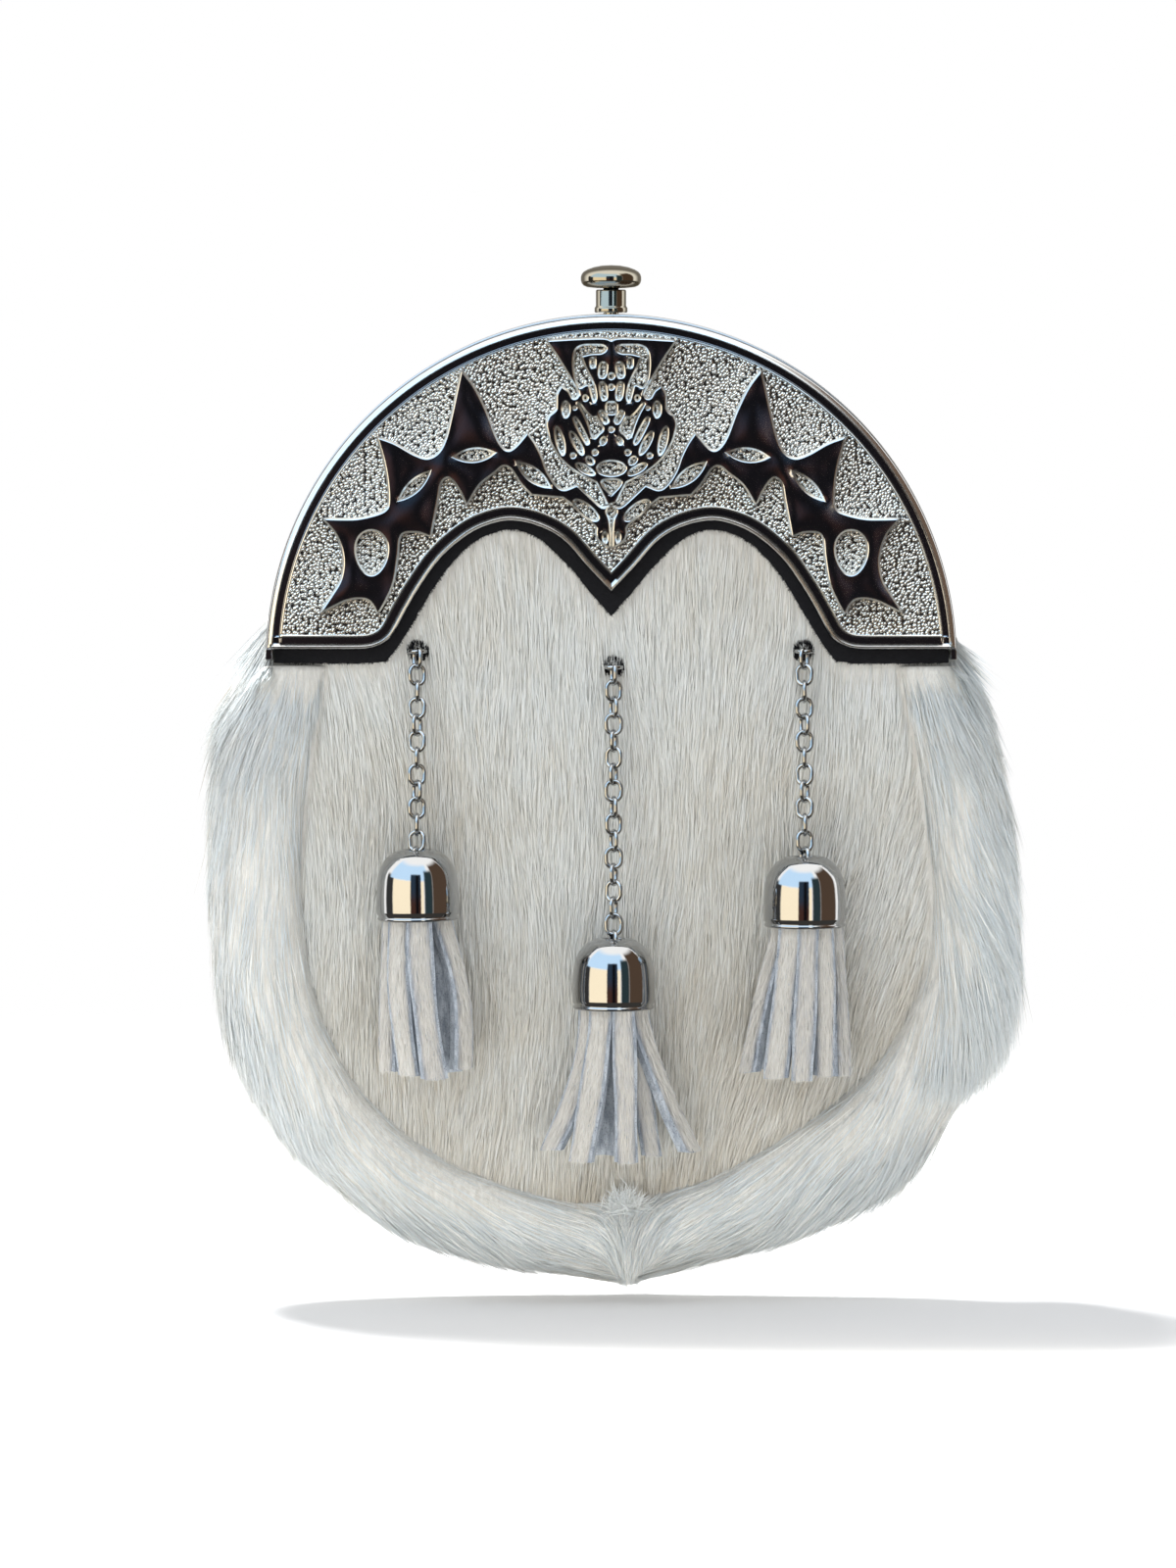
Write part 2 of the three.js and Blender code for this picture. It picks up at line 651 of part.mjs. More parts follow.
function knob() {
  const retainerTop = bandInner - clearance - knobTravel;
  const top = knobFoot + knobHeadHeight;
  return turned([
    new THREE.Vector2(0, retainerTop - retainerHeight),
    new THREE.Vector2(retainerRadius, retainerTop - retainerHeight),
    new THREE.Vector2(retainerRadius, retainerTop),
    new THREE.Vector2(rodRadius, retainerTop),
    new THREE.Vector2(rodRadius, knobFoot),
    new THREE.Vector2(knobRadius * 0.52, knobFoot),
    new THREE.Vector2(knobRadius * 0.97, knobFoot + knobHeadHeight * 0.25),
    new THREE.Vector2(knobRadius, knobFoot + knobHeadHeight * 0.34),
    new THREE.Vector2(knobRadius, knobFoot + knobHeadHeight * 0.68),
    new THREE.Vector2(knobRadius * 0.88, knobFoot + knobHeadHeight * 0.86),
    new THREE.Vector2(knobRadius * 0.5, knobFoot + knobHeadHeight * 0.97),
    new THREE.Vector2(0, top),
  ]);
}

// Chains. The first link stands upright in the panel's hole round its pin, the second lies flat, and
// the rest hang from it in a straight line that leans forward to clear the fur under the bell.
const linkInner = linkLength - 2 * linkWire;
const pitch = linkInner + linkFuse;
const pinDepth = panelBack + clearance + chainPinRadius;
const firstLink = pinDepth + chainPinRadius + pinRunning - linkInner / 2;
const hangDepth = firstLink - pitch - (linkLength - linkWire) / 2;
const bellDepth = panelFace - furUnderBell - bellRadius;

function link() {
  const bend = (linkWidth - linkWire) / 2;
  const straight = (linkLength - linkWidth) / 2;
  const half = ringSides / 2;
  const centres = Array.from({ length: ringSides }, (_, i) => {
    const upper = i < half;
    const turn = (Math.PI * (upper ? i : i - half)) / (half - 1) + (upper ? 0 : Math.PI);
    return new THREE.Vector3(
      bend * Math.cos(turn),
      0,
      bend * Math.sin(turn) + (upper ? straight : -straight),
    );
  });
  return wireRing(centres, linkWire, wireSides);
}

// Where a drop hangs: the first hanging link, the last one and the lean between them.
function dropLine(drop) {
  const hole = chainHole(drop);
  const start = new THREE.Vector3(hole.x, hangDepth, hole.y + linkWire - linkFuse - (linkLength - linkWire) / 2);
  const run = pitch * (drop.links - 1);
  const lean = Math.asin((bellDepth - hangDepth) / run);
  const step = new THREE.Vector3(0, Math.sin(lean), -Math.cos(lean)).multiplyScalar(pitch);
  return { hole, start, lean, step, end: start.clone().addScaledVector(step, drop.links - 1) };
}

function chain(drop) {
  const { hole, start, lean, step } = dropLine(drop);
  const upright = link().rotateX(Math.PI / 2).rotateY(Math.PI / 2).translate(hole.x, firstLink, hole.y);
  const flat = link().rotateX(Math.PI / 2).translate(hole.x, firstLink - pitch, hole.y);
  const hanging = Array.from({ length: drop.links }, (_, i) => {
    const place = start.clone().addScaledVector(step, i);
    return link().rotateZ(i % 2 ? 0 : Math.PI / 2).rotateX(lean).translate(place.x, place.y, place.z);
  });
  return joined([upright, flat, ...hanging]);
}

function chainPin(drop) {
  const { hole } = dropLine(drop);
  return crossRod(chainPinRadius, chainPinLength, hole.x, pinDepth, hole.y, 8);
}

// Bells and tassels, drawn about the centre of the chain's last link
function bellSkins() {
  const outer = bellProfile.map(({ down, out }) => new THREE.Vector2(out * bellRadius, -down * bellHeight));
  const crown = new THREE.Vector2(chainHoleRadius, 0);
  const inner = outer.slice(0, -1).map((p, i) => {
    const before = i ? outer[i - 1] : crown;
    const ahead = outer[i + 1].clone().sub(before).normalize();
    return new THREE.Vector2(p.x + ahead.y * bellWall, p.y - ahead.x * bellWall);
  });
  const hem = outer[outer.length - 1];
  return {
    outer: [crown, ...outer],
    inner: [new THREE.Vector2(chainHoleRadius, -bellWall), ...inner, new THREE.Vector2(hem.x - bellWall, hem.y)],
  };
}

function bell(drop) {
  const { outer, inner } = bellSkins();
  return turned([...inner, ...outer.reverse(), inner[0]]).translate(0, 0, drop.sunk);
}

// Radius of the bell's inside at a depth below its crown.
function roomInBell(depth) {
  const { inner } = bellSkins();
  const row = Math.max(1, inner.findIndex((p) => -p.y > depth));
  const share = (depth + inner[row - 1].y) / (inner[row - 1].y - inner[row].y);
  return THREE.MathUtils.lerp(inner[row - 1].x, inner[row].x, share);
}

function hideStrip(row, top, rim) {
  const foot = top - tasselHead - tasselLength * row.length;
  const width = row.breadth * bellRadius;
  const places = [0.0, 0.32, 0.66, 1.0].map((share, i) => {
    const start = top - tasselHead / 2;
    const z = i === 1 ? rim : THREE.MathUtils.lerp(start, foot, share);
    const past = Math.max(0, (rim - z) / (rim - foot));
    const x = THREE.MathUtils.lerp(row.root, row.foot, past ** 1.4) * bellRadius;
    return { x, y: row.row * bellRadius * (1 + 0.15 * past), z };
  });
  const corners = [[-1, -1], [1, -1], [1, 1], [-1, 1]];
  const rings = places.map((p) => corners.map(([a, b]) => (
    new THREE.Vector3(p.x + a * width / 2, p.y + b * stripThickness / 2, p.z)
  )));
  return lofted(rings, corners.map(([a, b]) => new THREE.Vector2(a, b)));
}

function tassel(drop) {
  const eye = stapleWire / 2 + pinRunning - linkInner / 2;
  const centres = Array.from({ length: ringSides }, (_, i) => {
    const turn = Math.PI / 2 + (2 * Math.PI * i) / ringSides;
    return new THREE.Vector3(stapleRadius * Math.cos(turn), 0, stapleRadius * (Math.sin(turn) - 1) + eye);
  });
  const staple = wireRing(centres, stapleWire, wireSides);
  if (drop.links % 2 === 0) {
    staple.rotateZ(Math.PI / 2);
  }
  const top = eye - 2 * stapleRadius + stapleWire / 2;
  const rim = drop.sunk - bellHeight;
  const radius = roomInBell(drop.sunk - top) - 2 * clearance;
  const head = new THREE.CylinderGeometry(radius, radius, tasselHead, 12);
  head.rotateX(Math.PI / 2);
  head.translate(0, 0, top - tasselHead / 2);
  return joined([staple, head, ...strips[drop.name].map((row) => hideStrip(row, top, rim))]);
}

// Materials
const finish = (color, roughness, metalness) => () => (
  new THREE.MeshStandardMaterial({ color, roughness, metalness, flatShading: true })
);
const chrome = finish(0xb8bcc0, 0.12, 1.0);
const castMetal = finish(0x8e9094, 0.22, 1.0);
const darkSteel = finish(0x55575a, 0.35, 1.0);
const felt = finish(0x0c0c0c, 0.95, 0.0);
const hide = finish(0xcec9bd, 0.85, 0.0);
const leather = finish(0x1c1714, 0.6, 0.0);

// Assembly
const body = new THREE.Group();
body.position.set(0, -strapThickness / 2, -strapHeight);

function addPiece(name, geometry, material, parent = body) {
  const mesh = new THREE.Mesh(geometry, material());
  mesh.name = name;
  parent.add(mesh);
  return mesh;
}

addPiece('cantle', cantle(), castMetal);
addPiece('cantle_backing', cantleBacking(), felt);
addPiece('frame_band', frameBand(), darkSteel);
addPiece('knob_boss', knobBoss(), castMetal).position.y = -bandDepth / 2;
addPiece('knob', knob(), castMetal).position.y = -bandDepth / 2;
addPiece('front_panel', frontPanel(), hide);
addPiece('back_panel', backPanel(), leather);

for (const [name, side] of [['left', -1], ['right', 1]]) {
  addPiece(`roll_${name}`, roll(name), hide);
  addPiece(`belt_loop_${name}`, beltLoop(side), leather);
  addPiece(`hinge_pin_${name}`, hingePin(side), darkSteel);
}

for (const drop of drops) {
  addPiece(`chain_${drop.name}`, chain(drop), chrome);
  addPiece(`chain_pin_${drop.name}`, chainPin(drop), darkSteel);
  const hung = new THREE.Group();
  hung.position.copy(dropLine(drop).end);
  hung.rotation.y = THREE.MathUtils.degToRad(drop.tilt);
  body.add(hung);
  addPiece(`bell_${drop.name}`, bell(drop), chrome, hung);
  addPiece(`tassel_${drop.name}`, tassel(drop), hide, hung);
}

const sporran = new THREE.Group();
sporran.add(body);

export default sporran;
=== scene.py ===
# The sporran pouch as it hangs on its strap: fur-covered hide under a cast cantle, with bells and hide
# tassels on chains. Every piece is laid over the solid frame. Lengths are in millimetres.
import math

import bpy
import numpy as np
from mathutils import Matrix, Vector, kdtree
from mathutils.geometry import delaunay_2d_cdt


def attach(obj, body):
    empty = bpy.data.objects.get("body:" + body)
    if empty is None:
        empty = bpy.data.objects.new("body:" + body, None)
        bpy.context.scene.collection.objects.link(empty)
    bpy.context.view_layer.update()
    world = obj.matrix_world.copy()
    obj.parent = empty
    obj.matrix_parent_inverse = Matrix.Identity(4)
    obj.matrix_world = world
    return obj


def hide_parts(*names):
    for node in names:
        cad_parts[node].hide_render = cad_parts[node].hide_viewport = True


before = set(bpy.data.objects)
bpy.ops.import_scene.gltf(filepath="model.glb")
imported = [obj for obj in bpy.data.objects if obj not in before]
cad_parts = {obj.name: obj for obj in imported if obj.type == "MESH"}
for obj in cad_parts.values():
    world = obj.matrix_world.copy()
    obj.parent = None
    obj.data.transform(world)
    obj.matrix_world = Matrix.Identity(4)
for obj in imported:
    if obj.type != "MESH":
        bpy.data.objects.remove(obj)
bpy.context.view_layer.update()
scene = bpy.context.scene

# Studio. The camera looks slightly down on the cantle. The floor is a sheet of pale paper that fades
# into a white surround, a large soft light hangs at the upper left, and what stands behind the camera,
# a bright yard with a few dark doorways, is seen by polished metal alone.
MM = 0.001


class Wire:
    """A socket to reckon with: each operator adds the Math node that it stands for."""

    def __init__(self, board, socket):
        self.board, self.socket = board, socket

    def maths(self, operation, *values):
        return self.board.add("ShaderNodeMath", {"operation": operation}, dict(enumerate(values)))

    def __add__(self, other):
        return self.maths("ADD", self, other)

    def __rsub__(self, other):
        return self.maths("SUBTRACT", other, self)

    def __mul__(self, other):
        return self.maths("MULTIPLY", self, other)

    __radd__, __rmul__ = __add__, __mul__

    def rise(self, low, high):
        """0 below low, 1 above high, and smooth between them."""
        sockets = {"Value": self, "From Min": low, "From Max": high}
        return self.board.add("ShaderNodeMapRange", {"interpolation_type": "SMOOTHSTEP"}, sockets)

    def fall(self, low, high):
        """1 below low, 0 above high, and smooth between them."""
        return 1 - self.rise(low, high)

    def between(self, low, high, soft):
        """1 from low to high, with soft ends."""
        return self.rise(low - soft, low + soft) * self.fall(high - soft, high + soft)


class Board:
    """The nodes of one finish. add() makes any node from its type, its settings and its sockets."""

    def __init__(self, tree):
        self.tree = tree

    def add(self, kind, settings={}, sockets={}, output=0):
        """One node, as the wire of its output. A ramp's stops are rows of place and colour."""
        node = self.tree.nodes.new(kind)
        for key, value in settings.items():
            if key == "stops":
                ramp = node.color_ramp.elements
                while len(ramp) < len(value):
                    ramp.new(0.5)
                for stop, (at, colour) in zip(ramp, value):
                    stop.position, stop.color = at, (*colour, 1)
            else:
                setattr(node, key, value)
        self.feed(node, sockets)
        return Wire(self, node.outputs[output])

    def feed(self, node, sockets):
        """Links a wire to its socket, and sets any other value on the socket itself."""
        for key, value in sockets.items():
            if isinstance(value, Wire):
                self.tree.links.new(value.socket, node.inputs[key])
            else:
                node.inputs[key].default_value = value

    def parts(self, vector):
        node = self.add("ShaderNodeSeparateXYZ", {}, {0: vector}).socket.node
        return [Wire(self, out) for out in node.outputs]

    def place(self, kind="Object"):
        return self.add("ShaderNodeTexCoord", {}, {}, kind)

    def stretched(self, x, y, z):
        """Coordinates drawn out along an axis, for grain that runs one way."""
        sockets = {0: self.place(), 1: (x, y, z)}
        return self.add("ShaderNodeVectorMath", {"operation": "MULTIPLY"}, sockets)

    def noise(self, scale, detail=2.0, vector=None, rough=0.5):
        sockets = {"Vector": vector or self.place(), "Scale": scale, "Detail": detail, "Roughness": rough}
        return self.add("ShaderNodeTexNoise", {}, sockets)

    def mix(self, share, first, second):
        sockets = {0: share, 6: first if isinstance(first, Wire) else (*first, 1)}
        sockets[7] = second if isinstance(second, Wire) else (*second, 1)
        return self.add("ShaderNodeMix", {"data_type": "RGBA"}, sockets, 2)

    def bump(self, height, distance, strength=1.0, normal=None):
        sockets = {"Height": height, "Distance": distance * MM, "Strength": strength}
        if normal:
            sockets["Normal"] = normal
        return self.add("ShaderNodeBump", {}, sockets)


def finish(name):
    """A new material, as its board, its shader node and the material itself."""
    made = bpy.data.materials.new(name)
    made.use_nodes = True
    return Board(made.node_tree), made.node_tree.nodes["Principled BSDF"], made


def mesh_of(name, points, faces, made, smooth=True):
    """An object from points in millimetres and arrays of faces, one array for each corner count."""
    mesh = bpy.data.meshes.new(name)
    corners = np.concatenate([np.ravel(f) for f in faces])
    counts = np.concatenate([np.full(len(f), np.shape(f)[1]) for f in faces])
    mesh.vertices.add(len(points))
    mesh.vertices.foreach_set("co", np.ravel(np.asarray(points, float)) * MM)
    mesh.loops.add(len(corners))
    mesh.loops.foreach_set("vertex_index", corners.astype(np.int32))
    mesh.polygons.add(len(counts))
    mesh.polygons.foreach_set("loop_start", (np.cumsum(counts) - counts).astype(np.int32))
    mesh.update(calc_edges=True)
    mesh.polygons.foreach_set("use_smooth", np.full(len(counts), smooth))
    mesh.materials.append(made)
    made_object = bpy.data.objects.new(name, mesh)
    scene.collection.objects.link(made_object)
    return made_object


film, lens, picture_height, pitch_down = 36.0, 200.0, 344.8, math.radians(3.4)
aim_x, aim_y, aim_z = -5.1, -30.0, -56.8
camera = bpy.data.objects.new("camera", bpy.data.cameras.new("camera"))
camera.data.lens, camera.data.sensor_width = lens, film
reach = picture_height * lens / film
camera.location = Vector((
    aim_x, aim_y - reach * math.cos(pitch_down), aim_z + reach * math.sin(pitch_down))) * MM
camera.rotation_euler = (math.pi / 2 - pitch_down, 0, 0)
scene.collection.objects.link(camera)
scene.camera = camera
scene.view_settings.view_transform = "Standard"

floor_height, floor_reach = -172.5, 900.0
floor_cover, fade_from, fade_to = 0.78, 0.16, 0.75
paper, shader, made = finish("pale_paper")
tone = paper.noise(30.0, 3.0)
x, y, _ = paper.parts(paper.place())
paper.feed(shader, {
    "Base Color": paper.mix(tone, (0.89, 0.89, 0.89), (0.91, 0.91, 0.91)),
    "Roughness": 0.9,
    "Alpha": floor_cover - (x * x + y * y).rise(fade_from**2, fade_to**2) * floor_cover,
    "Specular IOR Level": 0.1,
})
corners = [(x, y, floor_height) for x in (-floor_reach, floor_reach) for y in (-floor_reach, floor_reach)]
floor = mesh_of("floor", corners, [[(0, 2, 3, 1)]], made)
floor.visible_glossy = False

scene.world = bpy.data.worlds.new("studio")
scene.world.use_nodes = True
yard = Board(scene.world.node_tree)
across, ahead, up = yard.parts(yard.place("Generated"))
bearing = across.maths("ARCTAN2", across, ahead * -1.0) * (180 / math.pi)
door = yard.mix(up.rise(-0.12, 0.12), (0.050, 0.022, 0.016), (0.020, 0.034, 0.055))
door = yard.mix(bearing.between(-4, 5, 4), door, (0.004, 0.004, 0.005))
seen = (0.86, 0.86, 0.84)
for share, colour in (
    (bearing.between(-74, 19, 2) * up.fall(0.17, 0.24), (0.96, 0.83, 0.60)),  # sunlit wall
    (bearing.between(-98, -73, 3) * up.fall(0.25, 0.4), (0.03, 0.03, 0.03)),  # its dark corner
    (bearing.between(-86, 32, 6) * up.rise(0.19, 0.24) * up.fall(0.78, 0.93), (0.52, 0.72, 0.92)),  # sky
    (bearing.between(-19, 11, 2) * up.between(-0.5, 0.44, 0.05), door),
    (bearing.between(21, 45, 3) * up.fall(0.5, 0.7), (0.02, 0.035, 0.04)),  # second doorway
    (bearing.between(44, 96, 4) * up.fall(0.75, 0.9), (0.07, 0.045, 0.03)),  # brown fence
    (up.fall(-0.27, -0.22), (0.035, 0.033, 0.03)),  # ground
    (ahead.rise(0.2, 0.7) * 0.9, (0.07, 0.06, 0.045)),  # shade behind the pouch
):
    seen = yard.mix(share, seen, colour)
glossy = yard.add("ShaderNodeLightPath", {}, {}, "Is Glossy Ray")
backdrop = yard.add("ShaderNodeLightPath", {}, {}, "Is Camera Ray")
soft = yard.mix(up.rise(-0.7, 0.3), (0.92, 0.89, 0.83), (0.56, 0.58, 0.61))
light = yard.mix(backdrop, yard.mix(glossy, soft, seen), (1.0, 1.0, 1.0))
yard.feed(scene.world.node_tree.nodes["Background"], {"Color": light, "Strength": glossy * 1.25 + 1})


def soft_light(name, place, size, power, colour, aim=(0, 0, -60), tall=None):
    """A soft box that polished metal doesn't show: place and aim in millimetres, size in metres."""
    lamp = bpy.data.objects.new(name, bpy.data.lights.new(name, "AREA"))
    lamp.data.shape = "RECTANGLE"
    lamp.data.size, lamp.data.size_y = size, tall or size
    lamp.data.energy, lamp.data.color = power, colour
    lamp.location = Vector(place) * MM
    lamp.rotation_euler = (Vector(aim) * MM - lamp.location).to_track_quat("-Z", "Y").to_euler()
    lamp.visible_glossy = lamp.visible_camera = False
    scene.collection.objects.link(lamp)


soft_light("key_light", (-700, -1000, 700), 0.7, 4.0, (1.0, 0.99, 0.97))
soft_light("fill_light", (900, -900, 200), 1.0, 0.8, (0.95, 0.97, 1.0))
soft_light("low_light", (15, -125, -164), 0.26, 0.036, (1.0, 0.93, 0.82), (15, 20, -150), 0.014)
soft_light("top_light", (-230, 300, 780), 0.16, 20.0, (1.0, 1.0, 1.0))

# Front panel. One piece of hair-on hide, held round its edge by the fur roll and above by the frame,
# with a hole for each chain. Its hair falls straight and draws in towards the tip at lower right. Each
# hair is a narrow ribbon that lies along a flow, and hairs near each other draw together into locks.
hair_width, hairs_a_lock = 0.19, 21
to_front = np.array([0.0, -1.0, 0.0])


def fit(piece, node=None, body="root"):
    """The piece rides on its body, and stands in place of a solid where a node is named."""
    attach(piece, body)
    if node:
        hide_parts(node)
    return piece


def unit(v):
    return v / np.maximum(np.linalg.norm(v, axis=-1, keepdims=True), 1e-9)


def scatter(sheet, count, rng, weight=None):
    """Places spread evenly over a grid of points, with the directions along its rows and columns."""
    a, b, c, d = sheet[:-1, :-1], sheet[1:, :-1], sheet[:-1, 1:], sheet[1:, 1:]
    area = np.linalg.norm(np.cross(b - a, c - a), axis=2) + np.linalg.norm(np.cross(b - d, c - d), axis=2)
    if weight is not None:
        area = area * weight
    cell = rng.choice(area.size, count, p=(area / area.sum()).ravel())
    i, j = np.divmod(cell, area.shape[1])
    f, g = rng.random((2, count, 1))
    a, b, c, d = a[i, j], b[i, j], c[i, j], d[i, j]
    place = (a * (1 - f) + b * f) * (1 - g) + (c * (1 - f) + d * f) * g
    along = unit((b - a) * (1 - g) + (d - c) * g)
    aside = unit((c - a) * (1 - f) + (d - b) * f)
    s = (i + f[:, 0]) / area.shape[0]
    u = (j + g[:, 0]) / area.shape[1]
    return place, along, aside, s, u


def nearest(places, targets):
    """The row of places that lies nearest to each target."""
    tree = kdtree.KDTree(len(places))
    flat = [0.0] * (3 - places.shape[1])
    for i, p in enumerate(places.tolist()):
        tree.insert(p + flat, i)
    tree.balance()
    return np.array([tree.find(p + flat)[1] for p in targets.tolist()])


def fur(name, roots, heading, outward, length, lift, tone, made, rng, lock=0.25, width=hair_width):
    """Ribbons of hair. heading and outward are unit vectors, and tone runs from 0, tan, to 1, white."""
    count = len(roots)
    outward = np.broadcast_to(outward, (count, 3))
    heading = unit(heading + rng.normal(0, 0.055, (count, 3)))
    length = length * rng.normal(1, 0.16, count).clip(0.5, 1.5)
    rise = lift * rng.normal(1, 0.5, count).clip(0.1, 2.5)
    steps = np.array([0.0, 0.5, 1.0])
    reach = length[:, None, None] * steps[:, None]
    arch = (rise * length)[:, None, None] * (steps - 0.6 * steps**2)[:, None]
    line = roots[:, None] + heading[:, None] * reach + outward[:, None] * arch
    sway = np.cross(heading, outward) * (rng.normal(0, 0.05, count) * length)[:, None]
    line += sway[:, None] * (steps**2)[:, None]
    leader = nearest(roots[::hairs_a_lock], roots) * hairs_a_lock
    drawn = (lock * steps**1.5)[:, None] * (length / 14)[:, None, None].clip(0, 1)
    line += (line[leader] - line) * drawn
    turn = rng.normal(0, 0.45, count)[:, None]
    edge = unit(np.cross(heading, outward)) * np.cos(turn) + outward * np.sin(turn)
    half = (width / 2 * rng.uniform(0.75, 1.25, count))[:, None] * edge
    half = half[:, None] * np.array([0.8, 1.0])[:, None]
    points = np.concatenate([line[:, :2] - half, line[:, :2] + half, line[:, 2:]], 1)
    base = (np.arange(count) * 5)[:, None]
    quads, tips = base + [0, 2, 3, 1], base + [1, 3, 4]
    made_fur = mesh_of(name, points.reshape(-1, 3), [quads, tips], made)
    shade = tone + rng.normal(0, 0.06, count) + rng.normal(0, 0.05, count)[leader]
    ends = np.array([0.02, 0.5, 0.02, 0.5, 0.98])
    corners = np.concatenate([quads.ravel(), tips.ravel()])
    marks = np.stack([shade.clip(0.01, 0.99)[corners // 5], ends[corners % 5]], 1)
    made_fur.data.uv_layers.new(name="hair").uv.foreach_set("vector", marks.ravel().astype(np.float32))
    return made_fur


def hair_finish(name, stops, root_shade):
    """Hair from its tone and the way along it: painted shade darkens the root, and a thin gloss runs along
    its length.
    """
    board, shader, made = finish(name)
    tone, way, _ = board.parts(board.add("ShaderNodeUVMap", {"uv_map": "hair"}))
    colour = board.add("ShaderNodeValToRGB", {"stops": stops}, {0: tone})
    colour = board.mix(way.fall(0.0, 0.6) * root_shade, colour, (0.46, 0.42, 0.36))
    board.feed(shader, {
        "Base Color": colour, "Roughness": 0.42 + tone * 0.1,
        "Specular IOR Level": 0.45, "Sheen Weight": 0.15, "Sheen Roughness": 0.4,
    })
    return made


def shaded(colour, share):
    return tuple(c * share for c in colour)


hair_stops = [
    (0.0, (0.58, 0.52, 0.41)),
    (0.3, (0.78, 0.75, 0.67)),
    (0.55, (0.87, 0.88, 0.845)),
    (0.8, (0.85, 0.885, 0.885)),
    (1.0, (0.80, 0.88, 0.92)),
]
white_hair = hair_finish("white_hair", [(at, shaded(colour, 0.96)) for at, colour in hair_stops], 0.3)

# The hide under the hair shows between the locks, in streaks that run down the piece; its darker streaks
# are painted shade in the gaps between the locks.
board, shader, hide_skin = finish("hair_side_of_hide")
streak = board.noise(900.0, 4.0, board.stretched(1.0, 1.0, 0.09), 0.7)
patch = board.noise(45.0, 2.0)
base = board.mix(streak.rise(0.3, 0.7), (0.64, 0.62, 0.57), (0.86, 0.86, 0.82))
board.feed(shader, {
    "Base Color": board.mix(patch * 0.3, base, (0.62, 0.57, 0.48)),
    "Roughness": 0.55 + streak * 0.2,
    "Normal": board.bump(streak, 0.5, 0.6),
    "Sheen Weight": 0.2,
})

# Outlines are drawn as the front sees them. A row is out from the middle and up from the centre of the
# cantle's round edge, with a 1 after them where the outline has a sharp corner.
arc_height = -30.0


def bent(p0, p1, p2, p3, t):
    """The place at share t between p1 and p2, on the smooth curve through all four."""
    return 0.5 * (2 * p1 + (p2 - p0) * t + (2 * p0 - 5 * p1 + 4 * p2 - p3) * t**2
                  + (3 * p1 - p0 - 3 * p2 + p3) * t**3)


def run(rows, step):
    """A smooth run through rows of an outline, cut at the sharp ones, at an even step."""
    places, sharp = [np.array(row[:2], float) for row in rows], [len(row) > 2 for row in rows]
    out = []
    for i in range(len(rows) - 1):
        p1, p2 = places[i:i + 2]
        p0 = places[i - 1] if i and not sharp[i] else 2 * p1 - p2
        p3 = places[i + 2] if i + 2 < len(rows) and not sharp[i + 1] else 2 * p2 - p1
        count = max(1, round(float(np.linalg.norm(p2 - p1)) / step))
        out += [bent(p0, p1, p2, p3, t) for t in np.arange(count) / count]
    return np.array(out + [places[-1]])


def ring(rows, step):
    """A closed outline, smooth all the way round where no row is sharp."""
    sharp = [i for i, row in enumerate(rows) if len(row) > 2]
    if sharp:
        rows = rows[sharp[0]:] + rows[:sharp[0]]
        return run(rows + rows[:1], step)[:-1]
    laps = run(rows * 3 + rows[:1], step)[:-1]
    return laps[len(laps) // 3:2 * len(laps) // 3]


def arc(radius, foot, count):
    """The round upper edge from right to left, from foot above the centre to the same height."""
    start = math.asin(foot / radius)
    turns = np.linspace(start, math.pi - start, count)
    return np.stack([radius * np.cos(turns), radius * np.sin(turns)], 1)


def mirrored(half):
    """The right half of a line, from its outside to the middle, as the whole line from left to right."""
    return np.concatenate([half * [-1, 1], half[:-1][::-1]])


def inside(points, outline):
    """How deep each point lies inside a closed outline, less than nothing outside it."""
    a, b = outline, np.roll(outline, -1, 0)
    found, at_once = np.empty(len(points)), 4000
    for start in range(0, len(points), at_once):
        p = points[start:start + at_once, None]
        ab, ap = b - a, p - a
        t = ((ap * ab).sum(2) / np.maximum((ab * ab).sum(1), 1e-12)).clip(0, 1)
        distance = np.linalg.norm(ap - ab * t[..., None], axis=2).min(1)
        crosses = (a[:, 1] > p[..., 1]) != (b[:, 1] > p[..., 1])
        rise = np.where(np.abs(ab[:, 1]) < 1e-12, 1e-12, ab[:, 1])
        odd = (crosses & (p[..., 0] < a[:, 0] + ab[:, 0] * (p[..., 1] - a[:, 1]) / rise)).sum(1) % 2
        found[start:start + at_once] = np.where(odd, distance, -distance)
    return found


def shifted(outline, inward):
    """A closed outline moved towards its inside, with mitred corners."""
    before, after = np.roll(outline, 1, 0), np.roll(outline, -1, 0)
    area = (outline[:, 0] * after[:, 1] - after[:, 0] * outline[:, 1]).sum()
    side = 1 if area > 0 else -1
    n1, n2 = unit(outline - before)[:, ::-1] * [-1, 1], unit(after - outline)[:, ::-1] * [-1, 1]
    middle = unit(n1 + n2)
    reach = (1 / np.maximum((middle * n1).sum(1), 0.35))[:, None]
    return outline + middle * reach * inward * side


